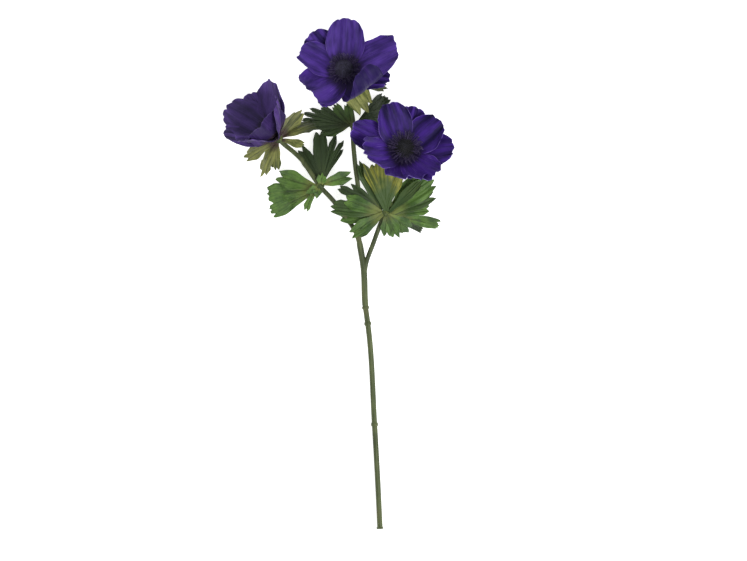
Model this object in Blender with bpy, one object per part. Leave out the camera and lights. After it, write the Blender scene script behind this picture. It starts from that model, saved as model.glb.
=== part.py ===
"""A spray of three violet anemones on one branching stem, lying down with its blooms turned up.

Lengths are millimetres in the tables below and become metres when a mesh is made.
The surface it lies on is the plane z = 0. The stem's cut end is the start of the
layout: +Y runs up the stem, +X to the right and +Z up from the surface.
Angles are degrees.
"""

import math
import random
from collections import namedtuple

import bmesh
import bpy
from mathutils import Matrix, Vector

MM = 0.001
GAP = 0.3  # between pieces that touch on the real spray

# ---------------------------------------------------------------- stem
MAIN_RADIUS = 2.7
FORK_RADIUS = 3.1
BRANCH_RADIUS = 2.3
JOINT_RADIUS = 3.5
STEM_SIDES = 10
BRANCH_SIDES = 8
STEM_SPACING = 16.0
FORK = (-21, 286, 19)
MAIN_STEM = [(0, 0, 3.32), (-2.4, 50, 5.5), (-5.4, 103, 8), (-11.3, 196, 12.5), (-14.4, 219, 14)]
FORK_STEM = [(-13.9, 214, 13.7), (-14.6, 222, 14.2), (-16.2, 257, 16.5), FORK]
LEFT_BRANCH = [(-19.7, 279, 18.5), (-24, 292, 19.4), (-33, 306, 20.5), (-47, 324, 22)]
LEFT_BRANCH += [(-59, 337, 21.5), (-67, 348.5, 20.5), (-77, 363, 18.5), (-86, 371.5, 17)]
TOP_BRANCH = [(-20, 280, 18.5), (-21, 290, 19.4), (-20.5, 306, 20.8), (-19, 331, 23)]
TOP_BRANCH += [(-22.5, 362, 25), (-25.3, 386, 26.5), (-26.2, 397, 27), (-29.5, 417, 28.5)]
RIGHT_BRANCH = [(-16, 247, 16), (-13.5, 262, 17.5), (-7, 280, 19.5), (0, 299, 22)]
RIGHT_BRANCH += [(4.7, 310, 23.5), (8.5, 320, 24.8), (15, 338, 27)]
JOINTS = [0.02, 103, 202, 218]  # how far up the main stem each ring stands
# a ring's (radius, height along the stem), with its ends sunk in the stem
JOINT_SUNK = MAIN_RADIUS - 0.3
JOINT_PROFILE = [(JOINT_SUNK, -1.9), (JOINT_RADIUS, -0.9), (JOINT_RADIUS, 0.9), (JOINT_SUNK, 1.9)]
STRAIGHT_END = 16.0  # the end of each branch that runs straight into its bloom

# ---------------------------------------------------------------- blooms
# seat: where the bloom meets its stem; axis: the way it faces
Bloom = namedtuple("Bloom", "name seat axis dome stamen_reach stamen_rise petals bracts")
# azimuth round the axis, 90 towards the far end of the spray; lifts are slopes above
# the bloom's plane at root and tip; layer 0 is outside
# late: how late along its length a petal turns from its root lift to its tip lift; skew:
# how much further its clockwise corner reaches
Petal = namedtuple(
    "Petal", "azimuth length width root_lift tip_lift layer cup late skew", defaults=(1.0, 0.0)
)
Bract = namedtuple("Bract", "azimuth length spread root_lift tip_lift")

TOP_PETALS = [
    Petal(88, 50, 35, 28, 31, 2, 4),
    Petal(133, 48, 36, 18, 26, 0, 1),
    Petal(159, 46, 31, 24, 20, 1, 3, skew=-0.03),
    Petal(213, 46, 39, 10, 50, 1, 1, late=2.4),
    Petal(252, 41, 24, 12, 24, 0, 2),
    Petal(306, 62, 44, -8, 150, 2, 4, late=1.6),
    Petal(19, 54, 43, 22, 26, 1, 2, skew=-0.04),
    Petal(345, 44, 26, 12, 16, 0, 1),
]
RIGHT_PETALS = [
    Petal(134, 49, 35, 32, 34, 2, 6),
    Petal(99, 43, 28, 20, 26, 0, 1),
    Petal(58, 45, 38, 26, 36, 2, 3),
    Petal(23, 47, 35, 14, 24, 0, 1),
    Petal(334, 46, 38, 14, 62, 1, 4, late=1.5),
    Petal(286, 50, 44, 8, 84, 0, 3, late=1.4),
    Petal(212, 50, 36, 18, 48, 2, 5, late=1.4),
    Petal(184, 51, 32, 16, 22, 1, 1),
]
LEFT_PETALS = [
    Petal(24, 51, 37, 38, 54, 2, 8),
    Petal(70, 45, 36, 32, 50, 0, 2),
    Petal(109, 50, 38, 36, 46, 2, 6),
    Petal(148, 49, 30, 34, 48, 0, 2),
    Petal(206, 45, 34, 42, 62, 1, 6),
    Petal(270, 46, 42, 44, 86, 2, 8),
    Petal(335, 50, 34, 38, 66, 0, 2),
]
TOP_BRACTS = [
    Bract(308, 38, 25, -14, -38),
    Bract(244, 28, 11, -20, -46),
    Bract(349, 40, 11, -6, -18),
    Bract(190, 30, 15, -14, -36),
    Bract(136, 30, 15, -8, -24),
    Bract(90, 30, 15, -8, -24),
    Bract(40, 30, 15, -8, -24),
]
LEFT_BRACTS = [
    Bract(11, 35, 19, -4, -16),
    Bract(358, 37, 19, -20, -38),
    Bract(298, 25, 20, -18, -38),
    Bract(208, 28, 17, -18, -38),
    Bract(180, 38, 17, -18, -38),
    Bract(152, 38, 15, 4, -4),
    Bract(104, 31, 18, -10, -28),
    Bract(62, 30, 17, -10, -28),
]
BLOOMS = [
    Bloom("top", (-35.3, 446.5, 46), (0.0, 0.42, 0.907), 9.5, 17, 11, TOP_PETALS, TOP_BRACTS),
    Bloom("right", (22.6, 369.5, 48), (0.13, 0.40, 0.907), 10, 18, 13, RIGHT_PETALS, []),
    Bloom("left", (-102.4, 386, 27), (-0.535, 0.513, 0.67), 7.5, 13, 17, LEFT_PETALS, LEFT_BRACTS),
]
PETAL_THICK = 0.9
PETAL_ROOT_SHARE = 0.26
PETAL_END_ROUND = 0.22
PETAL_END_POWER = 2.9
PETAL_SWELL = 0.66
PETAL_WAVE = 1.1  # how far the free end swings to and fro
PETAL_ACROSS = 5
PETAL_ALONG = 6
PETAL_ROOT_RADIUS = 3.0
LAYER_HEIGHTS = (0.9, 2.0, 3.1)
RECEPTACLE_RADIUS = 7.5
RECEPTACLE_HEIGHT = 4.0
RECEPTACLE_PROFILE = [(4.0, 0), (RECEPTACLE_RADIUS, 1.0), (RECEPTACLE_RADIUS, 3.2), (6.0, RECEPTACLE_HEIGHT)]
# the dome above its foot: (share of the dome's radius, height above the receptacle)
DOME_FOOT = 3.6
DOME_PROFILE = [(0.46, 2.0), (0.95, 6.0), (1.0, 8.0), (0.80, 10.6), (0.46, 12.2), (0.15, 12.7)]
STAMENS = 18
SHORT_STAMEN = 0.78  # every other stamen's length beside its neighbour's
STAMEN_SIDES = 3
THREAD_RADIUS = 0.65
ANTHER_RADIUS = 1.25
ANTHER_HALF = 0.8

# ---------------------------------------------------------------- leaves
# bearing: plan direction from +X; pitches are slopes above the level at root and tip;
# over: how far the blade leaves its collar from above (+) or below (-)
Leaf = namedtuple("Leaf", "bearing length spread lobes teeth root_pitch tip_pitch over sinus")
LEAF_THICK = 0.8
BEND_STEPS = 16  # short straight steps that stand for a blade's bend
LEAF_ROWS = (0.07, 0.40, 0.72, 1.0)
TOOTH_FALL = 0.07
TOOTH_NOTCH = 0.88
EDGE_REACH = 0.66
SIDE_FALL = 0.22  # how much shorter a leaf is at its sides than along its middle
ROOT_FAN = 0.55  # the share of a leaf's spread that its rays have at the root
LEAF_CUP_SHARE = 0.10
BRACT_CUP = -1.5
BRACT_TEETH = 3
BRACT_DROP = 6.0  # from a bloom's seat down to the middle of its bracts' collar
LEFT_LEAVES = [
    Leaf(188, 64, 38, 3, 3, -23, -60, -0.1, 0.66),
    Leaf(92, 54, 28, 3, 2, -19, -30, -1.0, 0.50),
    Leaf(12, 31, 16, 1, 2, 6, -12, 0.3, 0.7),
    Leaf(240, 29, 12, 1, 2, -10, -40, 0.2, 0.7),
]
RIGHT_LEAVES = [
    Leaf(174, 51, 23, 3, 2, 14, -14, 0.5, 0.66),
    Leaf(144, 52, 11, 2, 2, 12, -8, 0.3, 0.62),
    Leaf(114, 50, 7, 1, 1, 6, 4, 0.0, 0.7),
    Leaf(32, 56, 28, 3, 2, 4, -12, -0.1, 0.66),
    Leaf(346, 68, 20, 3, 2, -22, -68, 0.2, 0.54),
    Leaf(293, 28, 30, 3, 2, 4, -40, 0.6, 0.66),
    Leaf(216, 40, 16, 2, 2, 12, 0, 0.9, 0.66),
]
TOP_LEAVES = [
    Leaf(165, 56, 15, 2, 3, -18, -52, -0.2, 0.50),
    Leaf(192, 47, 24, 2, 3, -24, -44, -0.4, 0.62),
    Leaf(118, 26, 26, 2, 2, 12, -10, 0.7, 0.66),
    Leaf(34, 49, 29, 3, 2, -20, -60, -0.4, 0.56),
]
# a whorl's branch, its place on it and its leaves
Whorl = namedtuple("Whorl", "name branch at leaves")
COLLAR_WALL = 2.0
COLLAR_BEVEL = 0.6
COLLAR_FLARE = 0.4
COLLAR_HALF = 3.2
BRACT_COLLAR_HALF = 2.4
COLLAR_SIDES = 10
CLEARANCE = 0.45  # between a branch and the collar threaded on it
COLLAR_INNER = BRANCH_RADIUS + CLEARANCE
COLLAR_OUTER = COLLAR_INNER + COLLAR_WALL
LEAF_ROOT_RADIUS = COLLAR_INNER + 0.85 * COLLAR_WALL
RIGHT_BRACT_PLACE = (9.3, 322, 25)
RIGHT_BRACT_LEAVES = [
    Leaf(92, 48, 26, 1, 3, 18, 22, 4.0, 0.7),
    Leaf(116, 50, 8, 1, 1, 8, 12, 0.2, 0.7),
    Leaf(44, 44, 12, 1, 2, 14, 8, 0.2, 0.7),
]

VIOLET = (0.085, 0.022, 0.28)
DARK = (0.008, 0.006, 0.012)
LEAF_GREEN = (0.055, 0.15, 0.028)
BRACT_GREEN = (0.20, 0.22, 0.04)
STEM_GREEN = (0.075, 0.105, 0.03)


def material(name, colour, roughness):
    """A Principled material with the piece's own colour."""
    made = bpy.data.materials.new(name)
    made.use_nodes = True
    shader = made.node_tree.nodes["Principled BSDF"]
    shader.inputs["Base Color"].default_value = (*colour, 1)
    shader.inputs["Roughness"].default_value = roughness
    shader.inputs["Metallic"].default_value = 0.0
    return made


def new_object(name, points, faces):
    """A mesh object of points in millimetres, turned so that its faces look outwards."""
    mesh = bpy.data.meshes.new(name)
    mesh.from_pydata([Vector(p) * MM for p in points], [], faces)
    mesh.validate()
    made = bpy.data.objects.new(name, mesh)
    bpy.context.scene.collection.objects.link(made)
    return made


def ring_faces(rings, sides, closed):
    """Faces between rings of points; the ends are capped unless the rings close on themselves."""
    faces = []
    for ring in range(rings if closed else rings - 1):
        below = ring * sides
        above = (ring + 1) % rings * sides
        for side in range(sides):
            after = (side + 1) % sides
            faces.append((below + side, below + after, above + after, above + side))
    if not closed:
        faces.append(tuple(reversed(range(sides))))
        faces.append(tuple(range((rings - 1) * sides, rings * sides)))
    return faces


def turned(name, profile, sides, frame, closed=False):
    """A solid turned round the frame's z axis from (radius, height) pairs, lowest first."""
    points = []
    for radius, height in profile:
        for side in range(sides):
            turn = math.tau * side / sides
            points.append(frame @ Vector((radius * math.cos(turn), radius * math.sin(turn), height)))
    return new_object(name, points, ring_faces(len(profile), sides, closed))


def smooth_path(points, spacing):
    """Points about one spacing apart on a smooth curve through the given ones."""
    points = [Vector(p) for p in points]
    steps = [(b - a).length for a, b in zip(points, points[1:])]
    slopes = [(b - a) / step for a, b, step in zip(points, points[1:], steps)]
    tangents = [slopes[0]]
    for i in range(1, len(slopes)):
        share = steps[i - 1] / (steps[i - 1] + steps[i])
        tangents.append(slopes[i - 1].lerp(slopes[i], share))
    tangents.append(slopes[-1])
    path = [points[0]]
    for i, step in enumerate(steps):
        count = max(1, round(step / spacing))
        for k in range(1, count + 1):
            t = k / count
            start = points[i] * (2 * t**3 - 3 * t**2 + 1) + tangents[i] * step * (t**3 - 2 * t**2 + t)
            end = points[i + 1] * (3 * t**2 - 2 * t**3) + tangents[i + 1] * step * (t**3 - t**2)
            path.append(start + end)
    return path


def across_of(direction):
    """A frame whose z axis is the direction, with its x axis level."""
    z = direction.normalized()
    reference = Vector((0, 0, 1)) if abs(z.z) < 0.98 else Vector((0, 1, 0))
    x = z.cross(reference).normalized()
    y = z.cross(x)
    return Matrix((x, y, z)).transposed()


def tube(name, path, radii, sides):
    """A round bar along a path with a radius at each point."""
    points = []
    for i, centre in enumerate(path):
        ahead = path[min(i + 1, len(path) - 1)] - path[max(i - 1, 0)]
        turn_frame = across_of(ahead)
        for side in range(sides):
            turn = math.tau * side / sides
            rim = Vector((math.cos(turn), math.sin(turn), 0)) * radii[i]
            points.append(centre + turn_frame @ rim)
    return new_object(name, points, ring_faces(len(path), sides, False))


def nearest_on(path, place):
    """The point of a path nearest a place, and the path's direction there."""
    best = min(range(1, len(path) - 1), key=lambda i: (path[i] - Vector(place)).length)
    return path[best], (path[best + 1] - path[best - 1]).normalized()


def frame_at(centre, direction):
    return Matrix.Translation(centre) @ across_of(direction).to_4x4()


def arc(lifts, late, share):
    """The slope at this share of a bent blade's length, and how far forward and up it lies."""
    root, tip = (math.radians(lift) for lift in lifts)
    stride = share / BEND_STEPS
    forward = 0.0
    up = 0.0
    for k in range(BEND_STEPS):
        slope = root + (tip - root) * max(0.0, (k + 0.5) * stride) ** late
        forward += math.cos(slope) * stride
        up += math.sin(slope) * stride
    return root + (tip - root) * max(0.0, share) ** late, forward, up


def bend(x, y, length, width, lifts, cup, late=1.0, wave=0.0, wave_turn=0.0):
    """A flat blade's point (x across, y along) on the bent blade."""
    along = y / length
    slope, forward, up = arc(lifts, late, along)
    side = 2 * x / width
    rise = cup * along * side**2 + wave * along**3 * math.cos(1.5 * math.pi * side + wave_turn)
    out = length * forward - math.sin(slope) * rise
    return Vector((x, out, length * up + math.cos(slope) * rise))


def blade(name, grid, shape, frame, thick):
    """A thin closed blade: grid holds rows of flat (x, y), and shape bends them.

    Both faces are split along the same diagonals. Where it would pass through the
    surface that the spray lies on, it is pressed flat on it.
    """
    rows = len(grid)
    columns = len(grid[0])
    upper = []
    lower = []
    for row in grid:
        for x, y in row:
            middle = frame @ shape(x, y)
            by_x = frame @ shape(x + 0.05, y) - frame @ shape(x - 0.05, y)
            by_y = frame @ shape(x, y + 0.05) - frame @ shape(x, y - 0.05)
            normal = by_x.cross(by_y).normalized()
            if middle.z - abs(normal.z) * thick / 2 < 0:
                middle.z = thick / 2
                normal = Vector((0, 0, 1 if normal.z > 0 else -1))
            upper.append(middle + normal * thick / 2)
            lower.append(middle - normal * thick / 2)
    total = rows * columns
    faces = []
    for i in range(rows - 1):
        for j in range(columns - 1):
            a = i * columns + j
            b, c, d = a + 1, a + columns + 1, a + columns
            if j < columns // 2:
                halves = ((a, b, c), (a, c, d))
            else:
                halves = ((a, b, d), (b, c, d))
            for half in halves:
                faces.append(half)
                faces.append(tuple(corner + total for corner in reversed(half)))
    rim = [j for j in range(columns)]
    rim += [i * columns + columns - 1 for i in range(1, rows)]
    rim += [(rows - 1) * columns + j for j in range(columns - 2, -1, -1)]
    rim += [i * columns for i in range(rows - 2, 0, -1)]
    for a, b in zip(rim, rim[1:] + rim[:1]):
        faces.append((b, a, a + total))
        faces.append((b, a + total, b + total))
    return new_object(name, upper + lower, faces)


def petal_grid(petal):
    """Rows of flat points of a petal: a narrow claw, a broad body and a round end."""
    grid = []
    for i in range(PETAL_ALONG + 1):
        along = i / PETAL_ALONG
        swell = math.sin(PETAL_SWELL * math.pi * along**0.75)
        half = petal.width / 2 * (PETAL_ROOT_SHARE + (1 - PETAL_ROOT_SHARE) * swell)
        row = []
        for j in range(PETAL_ACROSS + 1):
            side = 2 * j / PETAL_ACROSS - 1
            reach = 1 - PETAL_END_ROUND * abs(side) ** PETAL_END_POWER + petal.skew * side * along**2
            row.append((side * half, along * reach * petal.length))
        grid.append(row)
    return grid


def leaf_grid(leaf):
    """Rows of flat points of a lobed leaf, fanned out from its root.

    Each ray ends at a tooth's tip or in a notch, and the deepest notches part the lobes.
    """
    reaches = [EDGE_REACH]
    for lobe in range(leaf.lobes):
        for tooth in range(leaf.teeth):
            middle = (leaf.teeth - 1) / 2
            reaches.append(1 - TOOTH_FALL * abs(tooth - middle))
            if tooth < leaf.teeth - 1:
                reaches.append(TOOTH_NOTCH)
        if lobe < leaf.lobes - 1:
            reaches.append(leaf.sinus)
    reaches.append(EDGE_REACH)
    start = leaf.length * LEAF_ROWS[0]
    grid = []
    for out in LEAF_ROWS:
        row = []
        for ray, reach in enumerate(reaches):
            side = 2 * ray / (len(reaches) - 1) - 1
            envelope = 1 - SIDE_FALL * abs(side) ** 1.5
            distance = leaf.length * envelope * out * (1 + (reach - 1) * out**1.5)
            turn = math.radians(leaf.spread) * side * (ROOT_FAN + (1 - ROOT_FAN) * out)
            row.append((distance * math.sin(turn), distance * math.cos(turn) - start))
        grid.append(row)
    return grid


def leaf_blade(name, leaf, collar, axis):
    """One leaf on its collar, with its root sunk in the collar's wall."""
    bearing = math.radians(leaf.bearing)
    forward = Vector((math.cos(bearing), math.sin(bearing), 0))
    outwards = forward + Vector((0, 0, leaf.over))
    outwards -= axis * outwards.dot(axis)
    root = collar + outwards.normalized() * LEAF_ROOT_RADIUS
    side = Vector((forward.y, -forward.x, 0))
    up = Vector((0, 0, 1))
    turn = Matrix((side, forward, up)).transposed().to_4x4()
    frame = Matrix.Translation(root) @ turn
    width = 2 * leaf.length * math.sin(math.radians(leaf.spread))
    lifts = (leaf.root_pitch, leaf.tip_pitch)

    def shape(x, y):
        return bend(x, y, leaf.length, width, lifts, LEAF_CUP_SHARE * width)

    return blade(name, leaf_grid(leaf), shape, frame, LEAF_THICK)


def collar(centre, axis, half):
    """The sleeve that a whorl of leaves or bracts is threaded on its branch by."""
    shoulder = COLLAR_OUTER - COLLAR_BEVEL
    profile = [(COLLAR_INNER, -half), (shoulder, -half), (COLLAR_OUTER, -half / 2)]
    profile += [(COLLAR_OUTER + COLLAR_FLARE, half / 2), (shoulder, half), (COLLAR_INNER, half)]
    return turned("collar", profile, COLLAR_SIDES, frame_at(centre, axis), closed=True)


def fuse(name, pieces, finish):
    """One union of all the pieces, left as the single object of the given name."""
    base = pieces[0]
    others = bpy.data.collections.new(name + "_pieces")
    bpy.context.scene.collection.children.link(others)
    for piece in pieces[1:]:
        bpy.context.scene.collection.objects.unlink(piece)
        others.objects.link(piece)
    union = base.modifiers.new("union", "BOOLEAN")
    union.operation = "UNION"
    union.solver = "EXACT"
    union.operand_type = "COLLECTION"
    union.collection = others
    graph = bpy.context.evaluated_depsgraph_get()
    mesh = bpy.data.meshes.new_from_object(base.evaluated_get(graph))
    base.modifiers.clear()
    base.data = mesh
    keep_largest(mesh)
    for piece in pieces[1:]:
        bpy.data.objects.remove(piece)
    bpy.data.collections.remove(others)
    return named(base, name, finish)


def keep_largest(mesh):
    """Drops the loose scraps and sealed hollows that a union of crossing blades leaves."""
    edited = bmesh.new()
    edited.from_mesh(mesh)
    unseen = set(edited.faces)
    bodies = []
    while unseen:
        body = [unseen.pop()]
        for face in body:
            for edge in face.edges:
                if len(edge.link_faces) != 2:
                    continue
                for other in edge.link_faces:
                    if other in unseen:
                        unseen.remove(other)
                        body.append(other)
        bodies.append(body)
    bodies.sort(key=len)
    scraps = [face for body in bodies[:-1] for face in body]
    bmesh.ops.delete(edited, geom=scraps, context="FACES")
    edited.to_mesh(mesh)
    edited.free()


def named(made, name, finish):
    """Gives a finished object its name and its material."""
    made.name = name
    made.data.name = name
    made.data.materials.clear()
    made.data.materials.append(finish)
    made.data.shade_smooth()
    made.data.set_sharp_from_angle(angle=math.radians(40))
    return made


def branch_path(points, bloom):
    """A branch's curve, straight at its end where it meets the bloom."""
    seat = Vector(bloom.seat)
    axis = Vector(bloom.axis).normalized()
    end = [seat - axis * STRAIGHT_END, seat - axis * STRAIGHT_END / 2, seat - axis * GAP]
    return smooth_path([Vector(p) for p in points] + end, STEM_SPACING / 2)


def build_stem(paths):
    """The main stem, the thicker piece under the forks and the three branches, in one."""
    main = smooth_path(MAIN_STEM, STEM_SPACING * 1.5)
    fork = smooth_path(FORK_STEM, STEM_SPACING)
    pieces = [tube("main", main, [MAIN_RADIUS] * len(main), STEM_SIDES)]
    pieces.append(tube("fork", fork, [FORK_RADIUS] * len(fork), STEM_SIDES))
    for name, path in paths.items():
        pieces.append(tube(name + "_branch", path, [BRANCH_RADIUS] * len(path), BRANCH_SIDES))
    fine = smooth_path(MAIN_STEM, 1.0)
    for height in JOINTS:
        centre, axis = nearest_on(fine, min(fine, key=lambda point: abs(point.y - height)))
        pieces.append(turned("joint", JOINT_PROFILE, STEM_SIDES, frame_at(centre, axis)))
    return fuse("stem", pieces, material("stem_finish", STEM_GREEN, 0.6))


def build_whorl(name, centre, axis, leaves, finish, half):
    """A ring of leaves or bracts fused to their collar."""
    pieces = [collar(centre, axis, half)]
    for number, leaf in enumerate(leaves):
        pieces.append(leaf_blade(f"leaf_{number}", leaf, centre, axis))
    return fuse(name, pieces, finish)


def bloom_frame(bloom):
    """The bloom's own frame at its seat: z along its axis, y towards the far side."""
    z = Vector(bloom.axis).normalized()
    level = Vector((z.x, z.y, 0)).normalized()
    y = (level - z * level.dot(z)).normalized()
    x = y.cross(z)
    return Matrix.Translation(Vector(bloom.seat)) @ Matrix((x, y, z)).transposed().to_4x4()


def build_petals(bloom, finish):
    """The petals in their layers, fused to the receptacle between stem and centre.

    A petal's azimuth also sets where the wave along its free end starts.
    """
    frame = bloom_frame(bloom)
    pieces = [turned("receptacle", RECEPTACLE_PROFILE, COLLAR_SIDES, frame)]
    for number, petal in enumerate(bloom.petals):
        turn = Matrix.Rotation(math.radians(petal.azimuth - 90), 4, "Z")
        seat = Matrix.Translation((0, PETAL_ROOT_RADIUS, LAYER_HEIGHTS[petal.layer]))
        lifts = (petal.root_lift, petal.tip_lift)

        def shape(x, y, petal=petal, lifts=lifts):
            return bend(x, y, petal.length, petal.width, lifts, petal.cup, petal.late, PETAL_WAVE, petal.azimuth)

        grid = petal_grid(petal)
        pieces.append(blade(f"petal_{number}", grid, shape, frame @ turn @ seat, PETAL_THICK))
    return fuse(bloom.name + "_petals", pieces, finish)


def build_bracts(bloom, finish):
    """The small toothed leaves under the bloom, fused to a collar on its stem."""
    frame = bloom_frame(bloom)
    axis = frame.to_3x3() @ Vector((0, 0, 1))
    centre = frame @ Vector((0, 0, -BRACT_DROP))
    pieces = [collar(centre, axis, BRACT_COLLAR_HALF)]
    for number, bract in enumerate(bloom.bracts):
        turn = Matrix.Rotation(math.radians(bract.azimuth - 90), 4, "Z")
        seat = Matrix.Translation((0, LEAF_ROOT_RADIUS, -BRACT_DROP))
        leaf = Leaf(0, bract.length, bract.spread, 1, BRACT_TEETH, 0, 0, 0, 0)
        lifts = (bract.root_lift, bract.tip_lift)
        width = 2 * bract.length * math.sin(math.radians(bract.spread))

        def shape(x, y, bract=bract, lifts=lifts, width=width):
            return bend(x, y, bract.length, width, lifts, BRACT_CUP)

        pieces.append(blade(f"bract_{number}", leaf_grid(leaf), shape, frame @ turn @ seat, LEAF_THICK))
    return fuse(bloom.name + "_bracts", pieces, finish)


def build_centre(bloom, finish):
    """The domed pistil head with its ring of stamens, seated on the receptacle."""
    frame = bloom_frame(bloom)
    base = RECEPTACLE_HEIGHT + GAP
    dome = bloom.dome
    profile = [(DOME_FOOT, base)] + [(dome * share, base + height) for share, height in DOME_PROFILE]
    pieces = [turned("dome", profile, COLLAR_SIDES, frame)]
    draw = random.Random(bloom.name)
    for number in range(STAMENS):
        turn = math.tau * (number + draw.uniform(-0.3, 0.3)) / STAMENS
        short = SHORT_STAMEN if number % 2 else 1.0
        reach = bloom.stamen_reach * short * draw.uniform(0.92, 1.05)
        rise = base + bloom.stamen_rise * draw.uniform(0.75, 1.0)
        start = (dome * 0.70, base + 6.5)
        stations = [(*start, THREAD_RADIUS), ((dome + reach) / 2, (start[1] + rise + 1) / 2, THREAD_RADIUS)]
        stations.append((reach - 2 * ANTHER_HALF, rise - 0.9, THREAD_RADIUS))
        stations.append((reach - ANTHER_HALF, rise - 0.3, ANTHER_RADIUS))
        stations.append((reach + ANTHER_HALF, rise + 0.4, THREAD_RADIUS))
        path = []
        for radius, height, _ in stations:
            path.append(frame @ Vector((radius * math.cos(turn), radius * math.sin(turn), height)))
        radii = [station[2] for station in stations]
        pieces.append(tube(f"stamen_{number}", path, radii, STAMEN_SIDES))
    return fuse(bloom.name + "_centre", pieces, finish)


def stand_on_origin(objects):
    """Hangs all the pieces on one empty that puts the middle of their box's floor at the origin."""
    corners = [made.matrix_world @ Vector(corner) for made in objects for corner in made.bound_box]
    low = Vector([min(corner[i] for corner in corners) for i in range(3)])
    high = Vector([max(corner[i] for corner in corners) for i in range(3)])
    spray = bpy.data.objects.new("spray", None)
    bpy.context.scene.collection.objects.link(spray)
    spray.location = (-(low.x + high.x) / 2, -(low.y + high.y) / 2, -low.z)
    for made in objects:
        made.parent = spray


def main():
    for old in list(bpy.data.objects):
        bpy.data.objects.remove(old)
    top, right, left = BLOOMS
    paths = {
        "top": branch_path(TOP_BRANCH, top),
        "right": branch_path(RIGHT_BRANCH, right),
        "left": branch_path(LEFT_BRANCH, left),
    }
    built = [build_stem(paths)]
    whorls = [
        Whorl("top", paths["top"], TOP_BRANCH[6], TOP_LEAVES),
        Whorl("right", paths["right"], RIGHT_BRANCH[4], RIGHT_LEAVES),
        Whorl("left", paths["left"], LEFT_BRANCH[4], LEFT_LEAVES),
    ]
    for whorl in whorls:
        centre, axis = nearest_on(whorl.branch, whorl.at)
        finish = material(whorl.name + "_leaf_finish", LEAF_GREEN, 0.55)
        built.append(build_whorl(whorl.name + "_leaves", centre, axis, whorl.leaves, finish, COLLAR_HALF))
    centre, axis = nearest_on(paths["right"], RIGHT_BRACT_PLACE)
    finish = material("right_bract_finish", BRACT_GREEN, 0.6)
    built.append(build_whorl("right_bracts", centre, axis, RIGHT_BRACT_LEAVES, finish, BRACT_COLLAR_HALF))
    for bloom in BLOOMS:
        built.append(build_petals(bloom, material(bloom.name + "_petal_finish", VIOLET, 0.6)))
        built.append(build_centre(bloom, material(bloom.name + "_centre_finish", DARK, 0.7)))
        if bloom.bracts:
            built.append(build_bracts(bloom, material(bloom.name + "_bract_finish", BRACT_GREEN, 0.6)))
    stand_on_origin(built)


main()
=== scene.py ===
"""Looks of a spray of three violet anemones that lies on a pale table.

Lengths in the tables are millimetres in the spray's own layout: its start is the
stem's cut end on the table, +Y runs up the stem, +X to the right and +Z up.
Angles are degrees. A blade's side runs from -1 to 1 across it and its out from
0 at the root to 1 at the end.
"""

import math
import random
from collections import namedtuple

import bpy
import numpy as np
from mathutils import Matrix, Vector

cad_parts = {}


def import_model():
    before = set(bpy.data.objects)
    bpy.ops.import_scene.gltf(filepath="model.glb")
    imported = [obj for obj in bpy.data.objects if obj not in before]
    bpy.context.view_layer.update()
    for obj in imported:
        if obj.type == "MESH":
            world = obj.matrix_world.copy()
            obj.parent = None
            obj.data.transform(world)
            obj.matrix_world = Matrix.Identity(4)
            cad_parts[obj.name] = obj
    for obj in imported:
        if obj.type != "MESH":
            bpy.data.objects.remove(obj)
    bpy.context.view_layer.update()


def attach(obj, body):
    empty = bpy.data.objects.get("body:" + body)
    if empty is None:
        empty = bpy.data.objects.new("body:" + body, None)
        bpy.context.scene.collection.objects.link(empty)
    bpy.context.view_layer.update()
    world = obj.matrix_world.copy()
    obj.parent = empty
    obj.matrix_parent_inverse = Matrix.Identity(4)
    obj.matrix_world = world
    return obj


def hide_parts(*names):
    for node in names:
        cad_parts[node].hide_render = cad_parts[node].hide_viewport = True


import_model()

MM = 0.001
UP = Vector((0, 0, 1))
LAYOUT_START = np.array([41.113, -249.625, 0.0])  # from the middle of the spray's floor

# ---- stem
MAIN_RADIUS = 2.7
FORK_RADIUS = 3.1
FORK_END_SHARE = 0.72  # of the fork piece's radius, left at its two ends
FORK_END_STEPS = 6
BRANCH_RADIUS = 2.3
JOINT_RADIUS = 3.5
JOINT_REACH = 1.9  # from a ring joint's middle to the foot of its 1 mm slope
JOINT_ROUND = 0.6
STEM_SIDES = 36
STEM_RIBS = 9
STEM_RIB_DEPTH = 0.018
STEM_STEP = 1.2
PLACING_STEP = 8.0  # of the coarse curves that the sheaths are placed on
MAIN_STEM = [(0, 0, 3.32), (-2.4, 50, 5.5), (-5.4, 103, 8), (-11.3, 196, 12.5), (-14.4, 219, 14)]
FORK_STEM = [(-13.9, 214, 13.7), (-14.6, 222, 14.2), (-16.2, 257, 16.5), (-21, 286, 19)]
LEFT_BRANCH = [(-19.7, 279, 18.5), (-24, 292, 19.4), (-33, 306, 20.5), (-47, 324, 22)]
LEFT_BRANCH += [(-59, 337, 21.5), (-67, 348.5, 20.5), (-77, 363, 18.5), (-86, 371.5, 17)]
TOP_BRANCH = [(-20, 280, 18.5), (-21, 290, 19.4), (-21.1, 306, 20.8), (-21.2, 331, 23)]
TOP_BRANCH += [(-24.8, 362, 25), (-26.5, 386, 26.5), (-26.2, 397, 27), (-29.5, 417, 28.5)]
RIGHT_BRANCH = [(-16, 247, 16), (-13.5, 262, 17.5), (-7, 280, 19.5), (0, 299, 22)]
RIGHT_BRANCH += [(4.7, 310, 23.5), (8.5, 320, 24.8), (15, 338, 27)]
BRANCHES = {"top": TOP_BRANCH, "right": RIGHT_BRANCH, "left": LEFT_BRANCH}
JOINTS = [0.02, 103, 202, 218]
STRAIGHT_END = 16.0
GAP = 0.3

# ---- blooms
Bloom = namedtuple("Bloom", "name seat axis dome stamen_reach stamen_rise petals bracts")
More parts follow.
